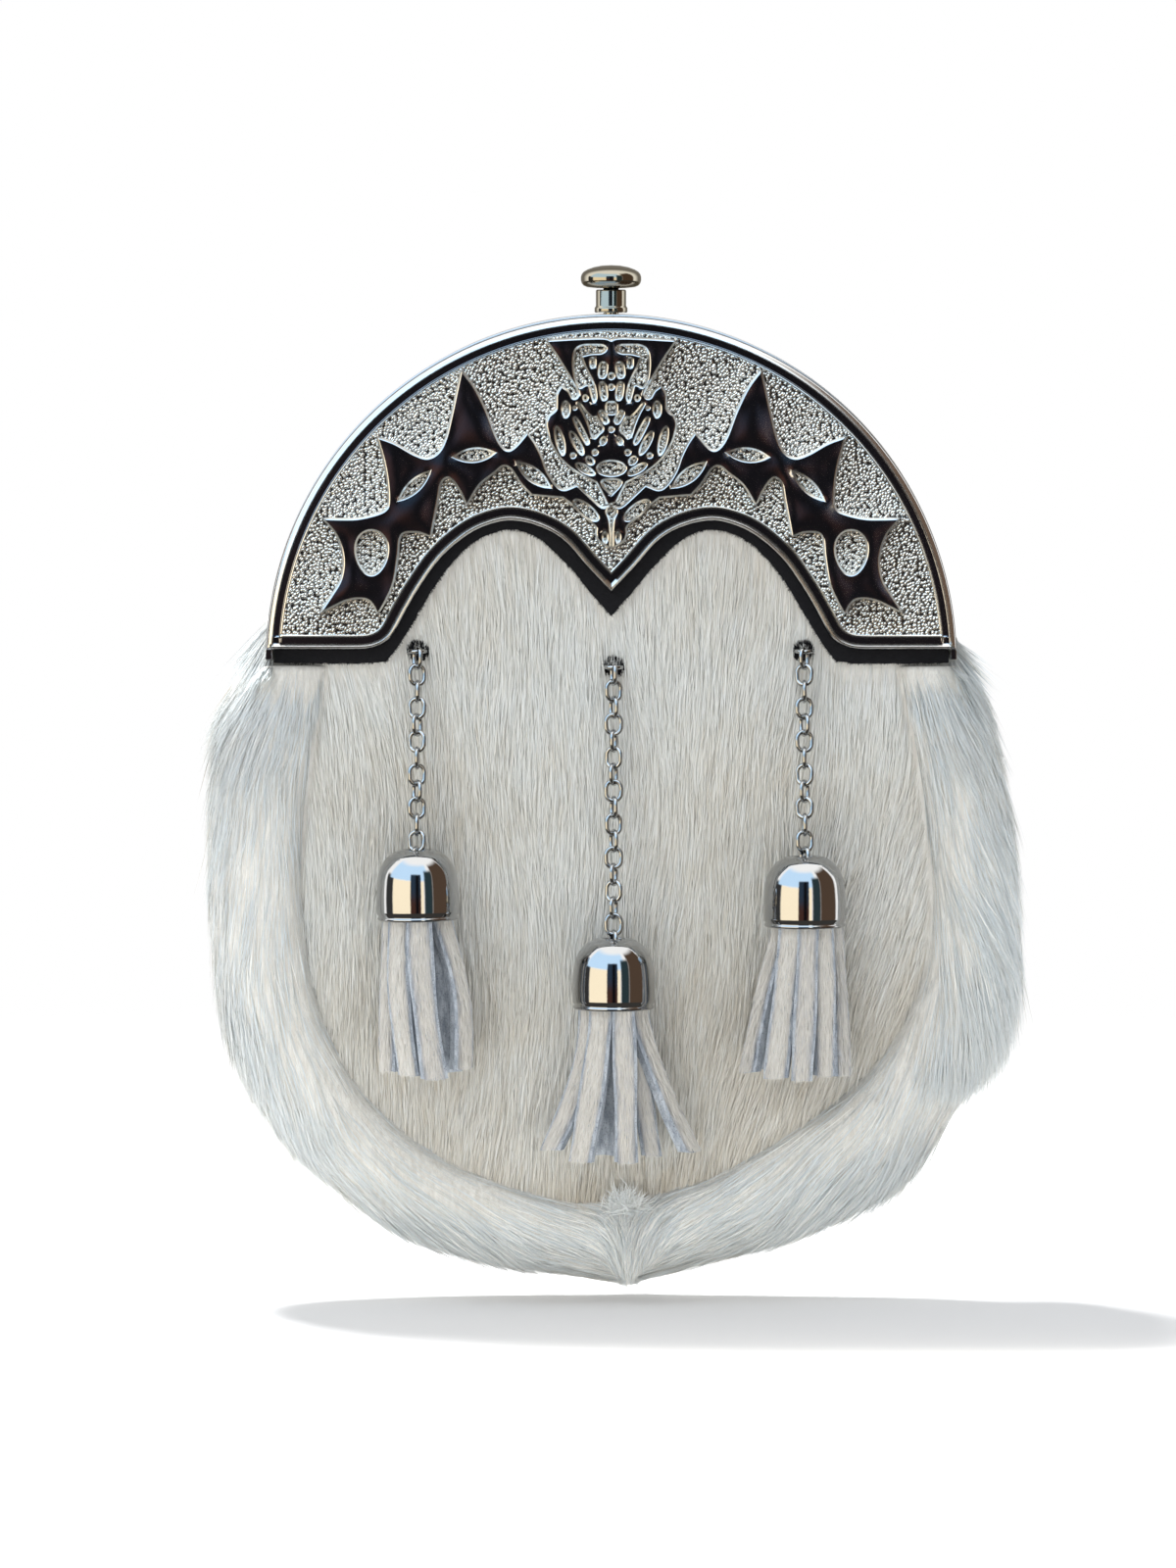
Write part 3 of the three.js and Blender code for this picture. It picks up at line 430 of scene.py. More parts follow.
def filled(loops, spacing, low, high, keep):
    """Triangles over a flat region that follow every closed loop and are even in between."""
    edges, start = [], 0
    for loop in loops:
        count = len(loop)
        edges += [(start + i, start + (i + 1) % count) for i in range(count)]
        start += count
    xs, zs = (np.arange(a, b, pitch) for a, b, pitch in zip(low, high, (spacing, spacing * 0.866)))
    grid = np.array([(x + (row % 2) * spacing / 2, z) for row, z in enumerate(zs) for x in xs])
    clear = np.full(len(grid), True)
    for loop in loops:
        near = ((grid > loop.min(0) - spacing) & (grid < loop.max(0) + spacing)).all(1) & clear
        clear[near] = np.abs(inside(grid[near], loop)) > spacing * 0.3
    flat = np.concatenate(loops + [grid[clear & keep(grid)]])
    found = delaunay_2d_cdt([Vector(p) for p in flat.tolist()], edges, [], 0, 1e-5, False)
    spots = np.array([tuple(v) for v in found[0]])
    faces = np.array([f for f in found[2] if len(f) == 3])
    return spots, faces[keep(spots[faces].mean(1))]


def standing(flat, depth):
    """Flat places as the front sees them, put at their depth in the row frame."""
    return np.stack([flat[:, 0], np.broadcast_to(depth, len(flat)), flat[:, 1] + arc_height], 1)


def slab(flat, faces, front, back, rim_loops):
    """A sheet with a front face, a back face and walls along its closed outlines."""
    count = len(flat)
    points = np.concatenate([standing(flat, front), standing(flat, back)])
    walls = []
    for loop in rim_loops:
        a = nearest(flat, loop)
        b = np.roll(a, -1)
        walls.append(np.stack([a, b, b + count, a + count], 1)[a != b])
    return points, [np.concatenate([faces, faces[:, ::-1] + count]), np.concatenate(walls)]


panel_face, panel_back, panel_radius = -26.95, -24.75, 74.2
drop_holes = [(-42.6, 2.35), (0.53, -1.14), (42.4, 2.35)]
hole_radius = 2.6
pouch_half_width, pouch_drop, roll_top = 89.0, 137.3, -1.1
mitre = 3.7

# Stations of the fur roll from the frame down to the mitre at the tip: where the seam and the rim lie,
# out as a share of the half width and down as a share of the drop, and how far the roll swells.
roll_tables = {
    "left": [
        (0.705, 0.000, 0.910, 0.000, 0.55), (0.719, 0.050, 0.955, 0.050, 0.85),
        (0.739, 0.117, 0.979, 0.115, 1.00), (0.762, 0.235, 0.998, 0.240, 1.00),
        (0.766, 0.360, 1.000, 0.385, 1.00), (0.739, 0.505, 0.977, 0.551, 1.00),
        (0.676, 0.620, 0.902, 0.678, 1.00), (0.588, 0.702, 0.791, 0.786, 1.00),
        (0.435, 0.783, 0.588, 0.896, 0.95), (0.267, 0.832, 0.355, 0.957, 0.90),
        (0.100, 0.860, 0.115, 0.985, 0.80), (-0.040, 0.855, -0.040, 1.000, 0.65)],
    "right": [
        (0.712, 0.000, 0.890, 0.000, 0.55), (0.726, 0.040, 0.920, 0.044, 0.85),
        (0.747, 0.100, 0.950, 0.110, 1.00), (0.774, 0.206, 0.985, 0.215, 1.00),
        (0.796, 0.340, 1.010, 0.360, 1.00), (0.790, 0.450, 1.012, 0.490, 1.00),
        (0.750, 0.540, 0.972, 0.600, 1.00), (0.676, 0.620, 0.884, 0.692, 1.00),
        (0.553, 0.700, 0.752, 0.820, 1.00), (0.387, 0.774, 0.526, 0.908, 0.95),
        (0.219, 0.828, 0.272, 0.962, 0.85), (0.040, 0.855, 0.040, 1.000, 0.65)],
}
roll_stations = 72
hands = {"left": -1, "right": 1}


def smooth_rows(rows, count):
    """Rows of numbers drawn out to an even count along a smooth curve through them."""
    rows = np.asarray(rows, float)
    t = np.linspace(0, len(rows) - 1, count)
    i = np.minimum(t.astype(int), len(rows) - 2)
    f = (t - i)[:, None]
    p1, p2 = rows[i], rows[i + 1]
    p0 = np.where((i > 0)[:, None], rows[np.maximum(i - 1, 0)], 2 * p1 - p2)
    p3 = np.where((i + 2 < len(rows))[:, None], rows[np.minimum(i + 2, len(rows) - 1)], 2 * p2 - p1)
    return bent(p0, p1, p2, p3, f)


def stations(side):
    """Seam and rim of a roll as the front sees them, and its swell, at even stations."""
    hand, rows = hands[side], np.array(roll_tables[side])
    seam = np.stack([hand * rows[:, 0] * pouch_half_width, roll_top - rows[:, 1] * pouch_drop], 1)
    rim = np.stack([hand * rows[:, 2] * pouch_half_width, roll_top - rows[:, 3] * pouch_drop], 1)
    seam[-1, 0] = rim[-1, 0] = mitre + hand * 0.15
    table = smooth_rows(np.concatenate([seam, rim, rows[:, 4:]], 1), roll_stations)
    return table[:, :2], table[:, 2:4], table[:, 4]


felt_edge = [
    (73.6, -0.2), (52.3, -0.2), (48.6, 1.3), (44.9, 6.5), (40.2, 14.4), (35.0, 21.8), (28.8, 27.2),
    (21.9, 29.1), (15.6, 26.9), (9.4, 21.1), (4.2, 14.9), (0.0, 10.1)]
felt_line = mirrored(run(felt_edge, 1.2))
seams = {side: stations(side)[0] for side in roll_tables}
panel_edge = np.concatenate([arc(panel_radius, 0.4, 90), seams["left"], seams["right"][::-1]])
holes = [np.array([(x + hole_radius * math.cos(t), z + hole_radius * math.sin(t))
                   for t in np.linspace(0, 2 * math.pi, 24, False)]) for x, z in drop_holes]


def on_panel(p):
    clear = inside(p, panel_edge) > 0
    for hole in holes:
        clear &= inside(p, hole) < 0
    return clear


edges = [panel_edge] + holes
flat, faces = filled(edges, 4.0, (-80, -128), (80, 78), on_panel)
points, faces = slab(flat, faces, panel_face, panel_back, edges)
fit(mesh_of("front_panel_hide", points, faces, hide_skin), "front_panel")

# The comb: how far each hair leans from straight down, how long it is, and how far towards tan it goes.
hair = np.random.default_rng(11)
hairs_tried, panel_hairs, longest = 108000, 65000, 10.5
columns, heights = np.meshgrid(np.arange(-72, 72.1, 4.0), np.arange(34, -122, -4.0))
sheet = standing(np.stack([columns.ravel(), heights.ravel()], 1), panel_face).reshape(*columns.shape, 3)
roots, along, aside, _, _ = scatter(sheet, hairs_tried, hair)
flat = roots[:, [0, 2]] - [0, arc_height]
felt_cover = np.concatenate([felt_line, arc(panel_radius, 0.4, 40)])
clear = (inside(flat, panel_edge) > 0.6) & (inside(flat, felt_cover) < 0.2)
for hole in holes:
    clear &= inside(flat, hole) < 0.9
clear = np.nonzero(clear)[0][:panel_hairs]
roots, along, aside, flat = (column[clear] for column in (roots, along, aside, flat))
x, up = flat.T
low, right = (-up / 110).clip(0, 1), (x / 68).clip(-1, 1)
lean = np.where(right > 0, -right * (7 + 24 * low**1.3), -right * 9 * (1 - low) - 4 * low)
lean += 5 * np.sin(x * 0.11 + 1.0) * np.cos(up * 0.07) + 3 * np.sin(x * 0.31 + up * 0.12)
turn = np.radians(lean)[:, None]
heading = along * np.cos(turn) + aside * np.sin(turn)
lift = 0.09 * (1 - 0.6 * (1 + inside(flat, felt_cover) / 6).clip(0, 1))
length = np.full(panel_hairs, longest)
for hole_x, hole_up in drop_holes:
    above = (np.abs(x - hole_x) < 2.4) & (up > hole_up)
    length[above] = np.minimum(length[above], (up[above] - hole_up - 1.2).clip(1.0, 11))
# Painted shade darkens the hair under the centre tassel. The hair is also darker and tanner towards the
# bottom, most at the lower right.
shade_under_tassel = np.exp(-((x - 4) / 20) ** 2 - ((up + 116) / 8) ** 2)
tone = 0.55 - 0.30 * shade_under_tassel - 0.17 * low - 0.16 * low * right.clip(0, 1)
tone += 0.05 * np.sin(x * 0.09 + 2) + 0.04 * np.cos(up * 0.13)
fit(fur("front_panel_fur", roots, heading, to_front, length, lift, tone, white_hair, hair))

# Fur rolls. Each is a tube of hair-on hide, padded and sewn round the pouch. They meet in a mitre at
# the tip. The hair runs down each roll, parts at its crest and stands off its rim in wisps.
roll_swell, back_inset, body_depth = 7.0, 8.0, -2.75
# Places round a section after its seam: out as a share of the width, back as a share of the depth.
roll_profile = [(0.09, 0.09), (0.29, 0.01), (0.53, 0.00), (0.79, 0.12), (0.95, 0.34), (1.00, 0.58),
                (0.92, 0.84), (0.70, 1.00)]
profile_steps, shoulder_rows = 44, 7
shoulder_out, shoulder_depth, shoulder_high = 75.6, -16.0, {"left": 10.5, "right": 6.5}
# The rolls' hair is the white hair dimmed: painted shade that offsets the extra light the rolls catch. Its
# pale cream top stop serves the painted light on the foot.
roll_stops = [(at * 0.85, shaded(colour, 0.85)) for at, colour in hair_stops]
roll_hair = hair_finish("roll_hair", roll_stops + [(1.0, (0.97, 0.965, 0.92))], 0.34)


def roll_skin(side):
    """The outer skin of a roll as a grid: stations down it, and places from its seam to its back."""
    seam, rim, swell = stations(side)
    grid = []
    for a, b, s in zip(seam, rim, swell):
        width, ahead = np.linalg.norm(b - a), unit(b - a)
        thick = panel_face - body_depth - s * roll_swell
        profile = [(out * width, thick * (1 - back)) for out, back in roll_profile]
        profile = [(0.0, panel_face - body_depth)] + profile + [(back_inset, 0.0)]
        section = smooth_rows(profile, profile_steps)
        grid.append(standing(a + ahead * section[:, :1], section[:, 1] + body_depth))
    shoulder = []
    centre = np.array([hands[side] * shoulder_out, shoulder_depth, roll_top + arc_height])
    for share in np.linspace(1, 0.03, shoulder_rows):
        row = centre + (grid[0] - centre) * (1 - 0.85 * share) + [0, 0, shoulder_high[side] * share]
        row[:, 1] = np.maximum(row[:, 1], panel_face + 0.35)
        shoulder.append(row)
    return np.array(shoulder + grid)


def sleeve(rows, corners, inward=False, closed=False):
    """Faces along rows of sections, with a cap at each end unless the last row meets the first."""
    i = np.arange(rows * corners).reshape(rows, corners)
    quads = np.stack([i, np.roll(i, -1, 0), np.roll(i, (-1, -1), (0, 1)), np.roll(i, -1, 1)], 2)
    if closed:
        faces = [quads.reshape(-1, 4)]
    else:
        faces = [quads[:-1].reshape(-1, 4), np.array([i[0], i[-1, ::-1]])]
    return [f[:, ::-1] for f in faces] if inward else faces


def roll_body(side, skin):
    """The skin closed behind by its two hems, with flat ends."""
    seam, rim, _ = stations(side)
    rear = standing(seam + unit(rim - seam) * back_inset, body_depth - 2.0)
    front = standing(seam, panel_back)
    above = len(skin) - len(rear)
    rear, front = (np.concatenate([np.repeat(hem[:1], above, 0), hem])[:, None] for hem in (rear, front))
    rear[:above, 0, 2] = skin[:above, -1, 2]
    front[:above, 0, 2] = skin[:above, 0, 2]
    whole = np.concatenate([skin, rear, front], 1)
    return whole.reshape(-1, 3), sleeve(*whole.shape[:2], inward=side == "right")


# The comb runs by s, from the shoulder down to the tip, and by u, from the seam over the crest, where it
# parts, to the back. Fewer hairs stand at the back and more on the shoulder.
rolls_tried, roll_hairs, crest = 66500, 63000, 0.62
for side, hand in hands.items():
    skin = roll_skin(side)
    roll = mesh_of(f"roll_{side}_hide", *roll_body(side, skin), hide_skin)
    fit(roll, f"roll_{side}")

    weight = np.ones((skin.shape[0] - 1, skin.shape[1] - 1))
    weight[:, 33:] = 0.45
    weight[:shoulder_rows + 1] *= 1.6
    roots, along, aside, s, u = scatter(skin, rolls_tried, hair, weight)
    out, back, up = roots.T
    under_felt = (np.abs(out) < panel_radius + 0.1) & (up > arc_height + roll_top - 0.2) & (back < -18)
    notch = np.interp(up - arc_height, [-133.5, -131.5, -124.5, -123.5], [0, 0.6, 0.2, 0])
    clear = np.nonzero(~under_felt & (np.abs(out - mitre) > notch))[0][:roll_hairs]
    roots, along, aside, s, u = (column[clear] for column in (roots, along, aside, s, u))
    outward = unit(np.cross(along, aside)) * -hand
    face = (u / crest).clip(0, 1)
    top, foot = (1 - s / 0.25).clip(0, 1), ((s - 0.72) / 0.28).clip(0, 1)
    if side == "left":
        spread = -16 * (1 - face) * (0.4 + top) + (14 + 16 * top) * face
    else:
        middle = np.exp(-((s - 0.5) / 0.17) ** 2)
        spread = -10 * (1 - face) * top + (14 + 14 * top) * face + 22 * middle * (0.35 + 0.65 * face)
    spread = spread * (1 - 0.75 * foot) + 5 * np.sin(s * 31 + u * 5) + 4 * np.sin(s * 67 - u * 9 + 1)
    turn = np.radians(spread)[:, None]
    heading = along * np.cos(turn) + aside * np.sin(turn)
    dome = (1 - s / 0.11).clip(0, 1)[:, None]
    fan = 0.12 + 0.55 * (1 - s / 0.075).clip(0, 1)[:, None]
    heading = heading * (1 - 0.7 * dome) + dome * (fan * [hand, 0, 0] + [0, -0.1, -0.7])
    heading += dome * aside * (face[:, None] - 0.5) * 0.4
    heading[:, 2] -= 0.12
    to_tip = (np.array([mitre + 0.3, 0.0, arc_height - 139.8]) - roots) * [1, 0, 1]
    drawn = ((s - 0.86) / 0.10).clip(0, 1)[:, None] ** 1.5
    heading = heading * (1 - drawn) + unit(to_tip) * drawn
    heading = unit(heading - outward * (heading * outward).sum(1)[:, None])
    length = 13.5 + 2.5 * np.sin(s * 23 + 2) + 3.0 * np.exp(-((u - crest) / 0.12) ** 2) - 4.5 * foot
    length += (0 if side == "left" else 5) * np.exp(-((s - 0.47) / 0.09) ** 2)
    length = np.minimum(length, np.linalg.norm(to_tip, axis=1) + 0.8)
    lift = (0.15 + 0.10 * np.exp(-((u - crest) / 0.14) ** 2)) * (1 - 0.75 * foot)
    # Painted light makes the hair on the foot paler, for light from below. The hair is darker over the
    # crest and the back, more so lower down, and greyer on the shoulder dome.
    tone = 0.74 - 0.22 * (face > 0.99) - 0.25 * ((face - 0.75) / 0.25).clip(0, 1) * (0.3 + s)
    tone += 0.24 * foot + 0.05 * np.sin(s * 17 + u * 3) - 0.14 * dome[:, 0]
    tone += hair.normal(0, 0.09, roll_hairs) * (1 + 0.9 * foot)
    fit(fur(f"roll_{side}_fur", roots, heading, outward, length, lift, tone, roll_hair, hair, 0.32))

# A tuft of loose hairs stands up where the two rolls and the panel meet, above the tip.
tuft_hairs = 420
out, up = hair.normal(mitre - 0.6, 1.6, tuft_hairs), hair.normal(-120.3, 0.9, tuft_hairs) + arc_height
roots = np.stack([out, np.full(tuft_hairs, -30.6), up], 1)
spreads = (0, 0.75), (-0.25, 0.15), (0.55, 0.6)
heading = unit(np.stack([hair.normal(*spread, tuft_hairs) for spread in spreads], 1))
fit(fur("tip_tuft", roots, heading, to_front, 4.6, 0.16, 0.75, white_hair, hair, 0.1))

# Felt backing. A sheet of black felt, cut to show as a dark line below the cantle, with a frayed edge.
felt_front, felt_back, frays = -28.85, -27.25, 3200
board, shader, felt = finish("black_felt")
mat = board.noise(1400.0, 5.0, rough=0.8)
board.feed(shader, {
    "Base Color": board.mix(mat, (0.004, 0.004, 0.005), (0.016, 0.016, 0.018)),
    "Roughness": 0.95,
    "Normal": board.bump(mat, 0.25, 0.9),
    "Specular IOR Level": 0.15,
    "Sheen Weight": 0.08,
})

away = unit(np.roll(felt_line, -1, 0) - felt_line)[:, ::-1] * [1, -1]
ragged = felt_line + away * hair.normal(0, 0.07, (len(felt_line), 1))
felt_ring = np.concatenate([arc(panel_radius, -0.2, 90), ragged])
flat, faces = filled([felt_ring], 5.0, (-76, -1), (76, 76), lambda p: inside(p, felt_ring) > 0)
points, faces = slab(flat, faces, felt_front, felt_back, [felt_ring])
fit(mesh_of("felt_backing", points, faces, felt, smooth=False), "cantle_backing")

pick, share = hair.integers(1, len(felt_line) - 2, frays), hair.random((frays, 1))
flat = felt_line[pick] * (1 - share) + felt_line[pick + 1] * share
away = away[pick]
roots = standing(flat - away * 0.35, hair.uniform(felt_front + 0.1, felt_back - 0.2, frays))
heading = np.stack([away[:, 0], np.full(frays, -0.15), away[:, 1]], 1) + hair.normal(0, 0.55, (frays, 3))
fit(fur("felt_fray", roots, unit(heading), to_front, 0.85, 0.1, 0.5, felt, hair, 0.0, 0.09))

# Cantle. A plated casting: a rounded rim, a sunk channel and a thin inner bead round a pebbled field,
# with a thistle between two sprays of pointed leaves in polished relief. A flange turns back from its
# round edge to meet the rear half of the frame.
frame_radius, cantle_foot = 75.9, 2.6
plate_face, plate_back, flange_rear = -31.35, -29.15, -17.05
rim_inner = 74.5
lower_half = [
    (75.85, 2.6, 1), (62.0, 2.6), (54.6, 2.65), (51.6, 3.2), (49.3, 4.4), (47.5, 6.4),
    (44.9, 11.2), (41.7, 16.6), (37.2, 22.8), (31.4, 27.8), (26.2, 30.2), (21.4, 30.9),
    (15.6, 29.5), (10.5, 26.5), (5.3, 20.7), (0.0, 15.1, 1)]
lower_edge = mirrored(run(lower_half, 0.7))
cantle_ring = np.concatenate([arc(frame_radius, cantle_foot, 340)[:-1], lower_edge[:-1]])
below = np.concatenate([arc(220.0, cantle_foot, 12), lower_edge])

# Height of the moulded rim above the plate, by the distance in from the round edge and from the lower, and
# how far it has a brush finish and a painted highlight there.
rim_steps = [0.0, 0.15, 0.35, 0.6, 0.9, 1.2, 1.42, 1.55, 2.75, 2.88, 3.05, 3.25, 3.45, 3.6]
rim_on_arc = [-0.7, -0.22, 0.04, 0.22, 0.42, 0.56, 0.30, -0.35, -0.35, -0.02, 0.24, 0.28, 0.14, 0.0]
rim_on_edge = [-1.4, -0.8, -0.25, 0.15, 0.2, -0.06, -0.3, -0.4, -0.4, 0.04, 0.4, 0.5, 0.34, 0.0]
rim_brushed_and_highlit = [0, 0, 0.3, 0.7, 0.7, 0.7, 0.4, 0, 0, 0.2, 0.9, 0.9, 0.9, 0]

# One leaf spray, on the left, with its arm to the thistle's stem.
leaf_rows = [
    (18.4, 50.2, 1), (16.9, 48.0), (15.5, 45.2), (14.3, 41.9), (12.4, 39.0), (10.4, 37.8),
    (7.5, 38.8, 1), (5.2, 36.6), (2.8, 34.4), (1.6, 33.9), (0.4, 34.3, 1), (-0.8, 25.6, 1),
    (0.5, 25.6), (2.6, 26.9), (3.2, 28.4), (3.3, 30.0), (6.0, 32.3), (8.4, 34.8),
    (10.5, 36.4, 1), (17.4, 37.0, 1), (19.7, 39.5), (22.0, 42.8), (23.9, 43.3), (25.8, 41.8),
    (29.1, 39.1), (31.7, 34.9, 1), (33.2, 38.1), (34.8, 40.3), (36.1, 40.8), (37.5, 39.5),
    (38.2, 35.8), (39.0, 31.7), (39.7, 27.9, 1), (42.3, 28.8), (45.4, 28.7), (46.6, 27.2),
    (47.0, 23.4), (47.9, 18.0), (49.4, 14.3), (51.2, 11.0, 1), (52.2, 12.9), (53.6, 14.1),
    (56.0, 14.3), (58.6, 13.7), (61.1, 12.5), (63.6, 11.2, 1), (61.1, 14.9), (59.3, 18.0),
    (58.6, 21.6), (59.0, 25.1), (60.4, 28.6), (62.9, 31.5, 1), (59.6, 31.4), (55.5, 31.5),
    (51.5, 32.4), (49.4, 33.4), (48.7, 35.0), (48.8, 38.9), (49.6, 43.9), (51.1, 49.3, 1),
    (47.4, 47.9), (43.3, 45.6), (40.3, 44.7), (37.8, 46.0), (36.2, 49.0), (34.9, 54.1),
    (33.8, 59.2), (32.8, 63.9, 1), (30.1, 60.2), (27.6, 55.1), (25.6, 49.8), (24.1, 47.3),
    (22.5, 46.4), (20.7, 47.5)]
# Half of the thistle, from the middle of its crown down to the stem.
thistle_rows = [
    (0.0, 70.5, 1), (1.7, 71.0), (6.9, 70.9), (13.9, 70.5, 1), (11.1, 66.4), (7.2, 59.7),
    (7.2, 58.4), (7.8, 57.8), (8.7, 58.0), (9.6, 59.5), (10.9, 60.5, 1), (11.8, 58.8),
    (11.9, 56.5), (12.1, 55.3), (13.5, 54.1, 1), (14.1, 52.5), (13.8, 50.6), (13.0, 48.2),
    (10.8, 44.8), (7.4, 42.0), (3.1, 39.7, 1), (2.0, 37.6), (0.7, 34.9, 1)]
# Oval cells: out, up, width, height, lean of the top away from the middle, and how squarely it ends.
cells = [
    (4.1, 65.8, 1.4, 2.5, 0, 1), (1.9, 64.2, 2.0, 3.7, -8, 1),
    (1.8, 59.6, 1.7, 4.2, 8, 1), (1.7, 53.9, 1.6, 3.3, 28, 1), (0.0, 62.9, 1.6, 1.6, 0, 0),
    (0.0, 60.5, 1.4, 1.4, 0, 0), (0.0, 55.9, 2.7, 3.0, 0, 1), (0.0, 51.2, 1.3, 1.3, 0, 0),
    (1.8, 48.7, 1.5, 2.1, -25, 0), (6.6, 50.9, 1.4, 6.8, 27, 1), (7.6, 48.2, 1.8, 5.9, 28, 0),
    (11.3, 48.7, 1.9, 6.6, 13, 0), (10.0, 55.6, 1.9, 3.8, 0, 0), (5.7, 58.1, 1.3, 1.5, 0, 0),
    (8.0, 55.9, 0.9, 0.9, 0, 0), (3.6, 46.2, 1.4, 1.4, 0, 0), (8.4, 45.5, 1.3, 1.3, 0, 0),
    (4.7, 44.4, 1.7, 2.3, 45, 0), (5.7, 42.5, 1.8, 4.8, 60, 0), (0.0, 42.7, 6.6, 3.6, 0, 0),
    (5.6, 33.5, 2.9, 7.0, 52, 0), (1.4, 27.5, 1.3, 2.7, 0, 0)]
# Lens-shaped hollows of the leaf spray: out, up, length, height, and turn from level.
lenses = [(30.0, 45.6, 9.7, 3.2, -6), (43.2, 38.8, 9.9, 2.8, -43), (17.0, 41.2, 9.7, 3.1, 37)]
shaped_cells = [
    [(1.0, 69.2), (1.9, 69.8), (3.9, 69.9), (6.2, 69.8), (7.7, 69.1), (8.3, 67.8),
     (8.5, 65.6), (8.3, 63.2), (7.8, 61.3), (6.9, 60.1), (5.9, 60.6), (5.1, 60.7),
     (4.6, 58.9), (3.9, 56.9), (3.2, 58.0), (3.5, 60.4), (4.3, 62.6), (5.5, 65.0),
     (6.4, 67.1, 1), (4.3, 67.6), (2.3, 67.7), (1.2, 68.3)],
    [(7.4, 56.8), (6.7, 56.9), (5.4, 55.3), (4.1, 54.0, 1), (3.1, 54.1, 1), (1.7, 51.3),
     (2.7, 50.0), (3.6, 49.1), (4.4, 49.6), (5.2, 52.1), (6.2, 54.5)]]
middle_cells = [
    [(2.1, 40.1), (0.0, 40.5), (-2.1, 40.1), (-2.1, 38.9), (0.0, 36.6, 1), (2.1, 38.9)],
    [(0.0, 34.5), (-1.0, 34.0), (-1.3, 33.0), (-0.65, 31.3), (-0.4, 28.3), (-0.4, 25.2),
     (0.4, 25.2), (0.4, 28.3), (0.65, 31.3), (1.3, 33.0), (1.0, 34.0)]]
# The egg-shaped hollow low on each spray: out, up, width and height, fuller at its top.
egg_out, egg_up, egg_width, egg_height, egg_fuller = 52.6, 24.2, 7.4, 10.2, 0.16


def both(loops):
    """Loops of the right half and their mirror images."""
    return loops + [loop * [-1, 1] for loop in loops]


def oval(out, up, width, height, lean, square):
    """An oval cell; square pulls its ends out towards those of a slot."""
    turns = np.linspace(0, 2 * math.pi, max(12, int((width + height) * 3.5)), False)
    power = 0.7 if square else 1.0
    across = np.sign(np.cos(turns)) * np.abs(np.cos(turns)) ** power * width / 2
    along = np.sign(np.sin(turns)) * np.abs(np.sin(turns)) ** power * height / 2
    tilt = math.radians(lean)
    return np.stack([-(out + across * math.cos(tilt) + along * math.sin(tilt)),
                     up - across * math.sin(tilt) + along * math.cos(tilt)], 1)


def lens_shape(out, up, length, height, turn):
    """Two bows that meet in a point at either end."""
    t = np.linspace(-1, 1, 15)[:-1]
    bow = np.stack([t * length / 2, (1 - t**2) * height / 2], 1)
    x, z = np.concatenate([bow, -bow]).T
    c, s = math.cos(math.radians(turn)), math.sin(math.radians(turn))
    return np.stack([-(out + x * c - z * s), up + x * s + z * c], 1)


leaves = both([ring(leaf_rows, 0.55) * [-1, 1]])
thistle = mirrored(run(thistle_rows, 0.4))
hollows = both([oval(*row) for row in cells if row[0]]) + [oval(*row) for row in cells if not row[0]]
hollows += both([lens_shape(*row) for row in lenses])
hollows += both([ring(rows, 0.45) * [-1, 1] for rows in shaped_cells])
hollows += [ring(rows, 0.4) for rows in middle_cells]
turns = np.linspace(0, 2 * math.pi, 40, False)
across = egg_width / 2 * (1 + egg_fuller * np.sin(turns)) * np.cos(turns)
hollows += both([np.stack([-egg_out - across, egg_up + egg_height / 2 * np.sin(turns)], 1)])


def relief_depth(p):
    """How deep a place lies inside the raised pattern, its hollows taken out."""
    depth = np.maximum(np.maximum(inside(p, leaves[0]), inside(p, leaves[1])), inside(p, thistle))
    for hollow in hollows:
        low, high = hollow.min(0) - 4, hollow.max(0) + 4
        near = ((p > low) & (p < high)).all(1)
        depth[near] = np.minimum(depth[near], -inside(p[near], hollow))
    return depth


def deepest(outline):
    """How deep the middle of a closed outline lies."""
    grid = np.meshgrid(*(np.linspace(a, b, 22) for a, b in zip(outline.min(0), outline.max(0))))
    return inside(np.stack(grid, 2).reshape(-1, 2), outline).max()


# Depths inside the pattern where its edge bends, and how far it stands up there.
relief_steps, relief_rise = [-0.42, -0.38, 0.0, 0.18], [0.0, 0.62, 1.08, 1.17]
loops = [cantle_ring] + [shifted(cantle_ring, d) for d in rim_steps[1:]]
for outline in leaves + [thistle]:
    loops += [shifted(outline, d) for d in relief_steps]
for hollow in hollows:
    room = deepest(hollow) - 0.08
    loops += [shifted(hollow, -d) for d in relief_steps[::-1] if -d < room]
flat, faces = filled(loops, 0.95, (-76, 2), (76, 76), lambda p: inside(p, cantle_ring) > 0)
from_arc = frame_radius - np.linalg.norm(flat, axis=1)
from_edge = np.abs(inside(flat, below))
nearer = ((from_edge - from_arc) / 1.2 + 0.5).clip(0, 1)
nearer = nearer**2 * (3 - 2 * nearer)
rim = np.interp(from_arc, rim_steps, rim_on_arc) * nearer
rim += np.interp(from_edge, rim_steps, rim_on_edge) * (1 - nearer)
depth = relief_depth(flat)
raised = np.interp(depth, relief_steps + [3.2], relief_rise + [1.25])
waves = np.sin(flat[:, 0] * 0.42 + 1) * np.cos(flat[:, 1] * 0.37)
raised += 0.09 * waves * ((depth - relief_steps[-1]) / 1.2).clip(0, 1)
from_rim = np.minimum(from_arc, from_edge)
front = standing(flat, plate_face - rim - raised)
grain = ((-0.4 - depth) / 0.02).clip(0, 1) * ((from_rim - 3.5) / 0.1).clip(0, 1)
brushed = np.maximum(np.interp(from_rim, rim_steps, rim_brushed_and_highlit),
                     np.interp(depth, [-0.46, -0.42, 0.0, 0.18], [0, 1, 1, 0])) * (1 - grain)
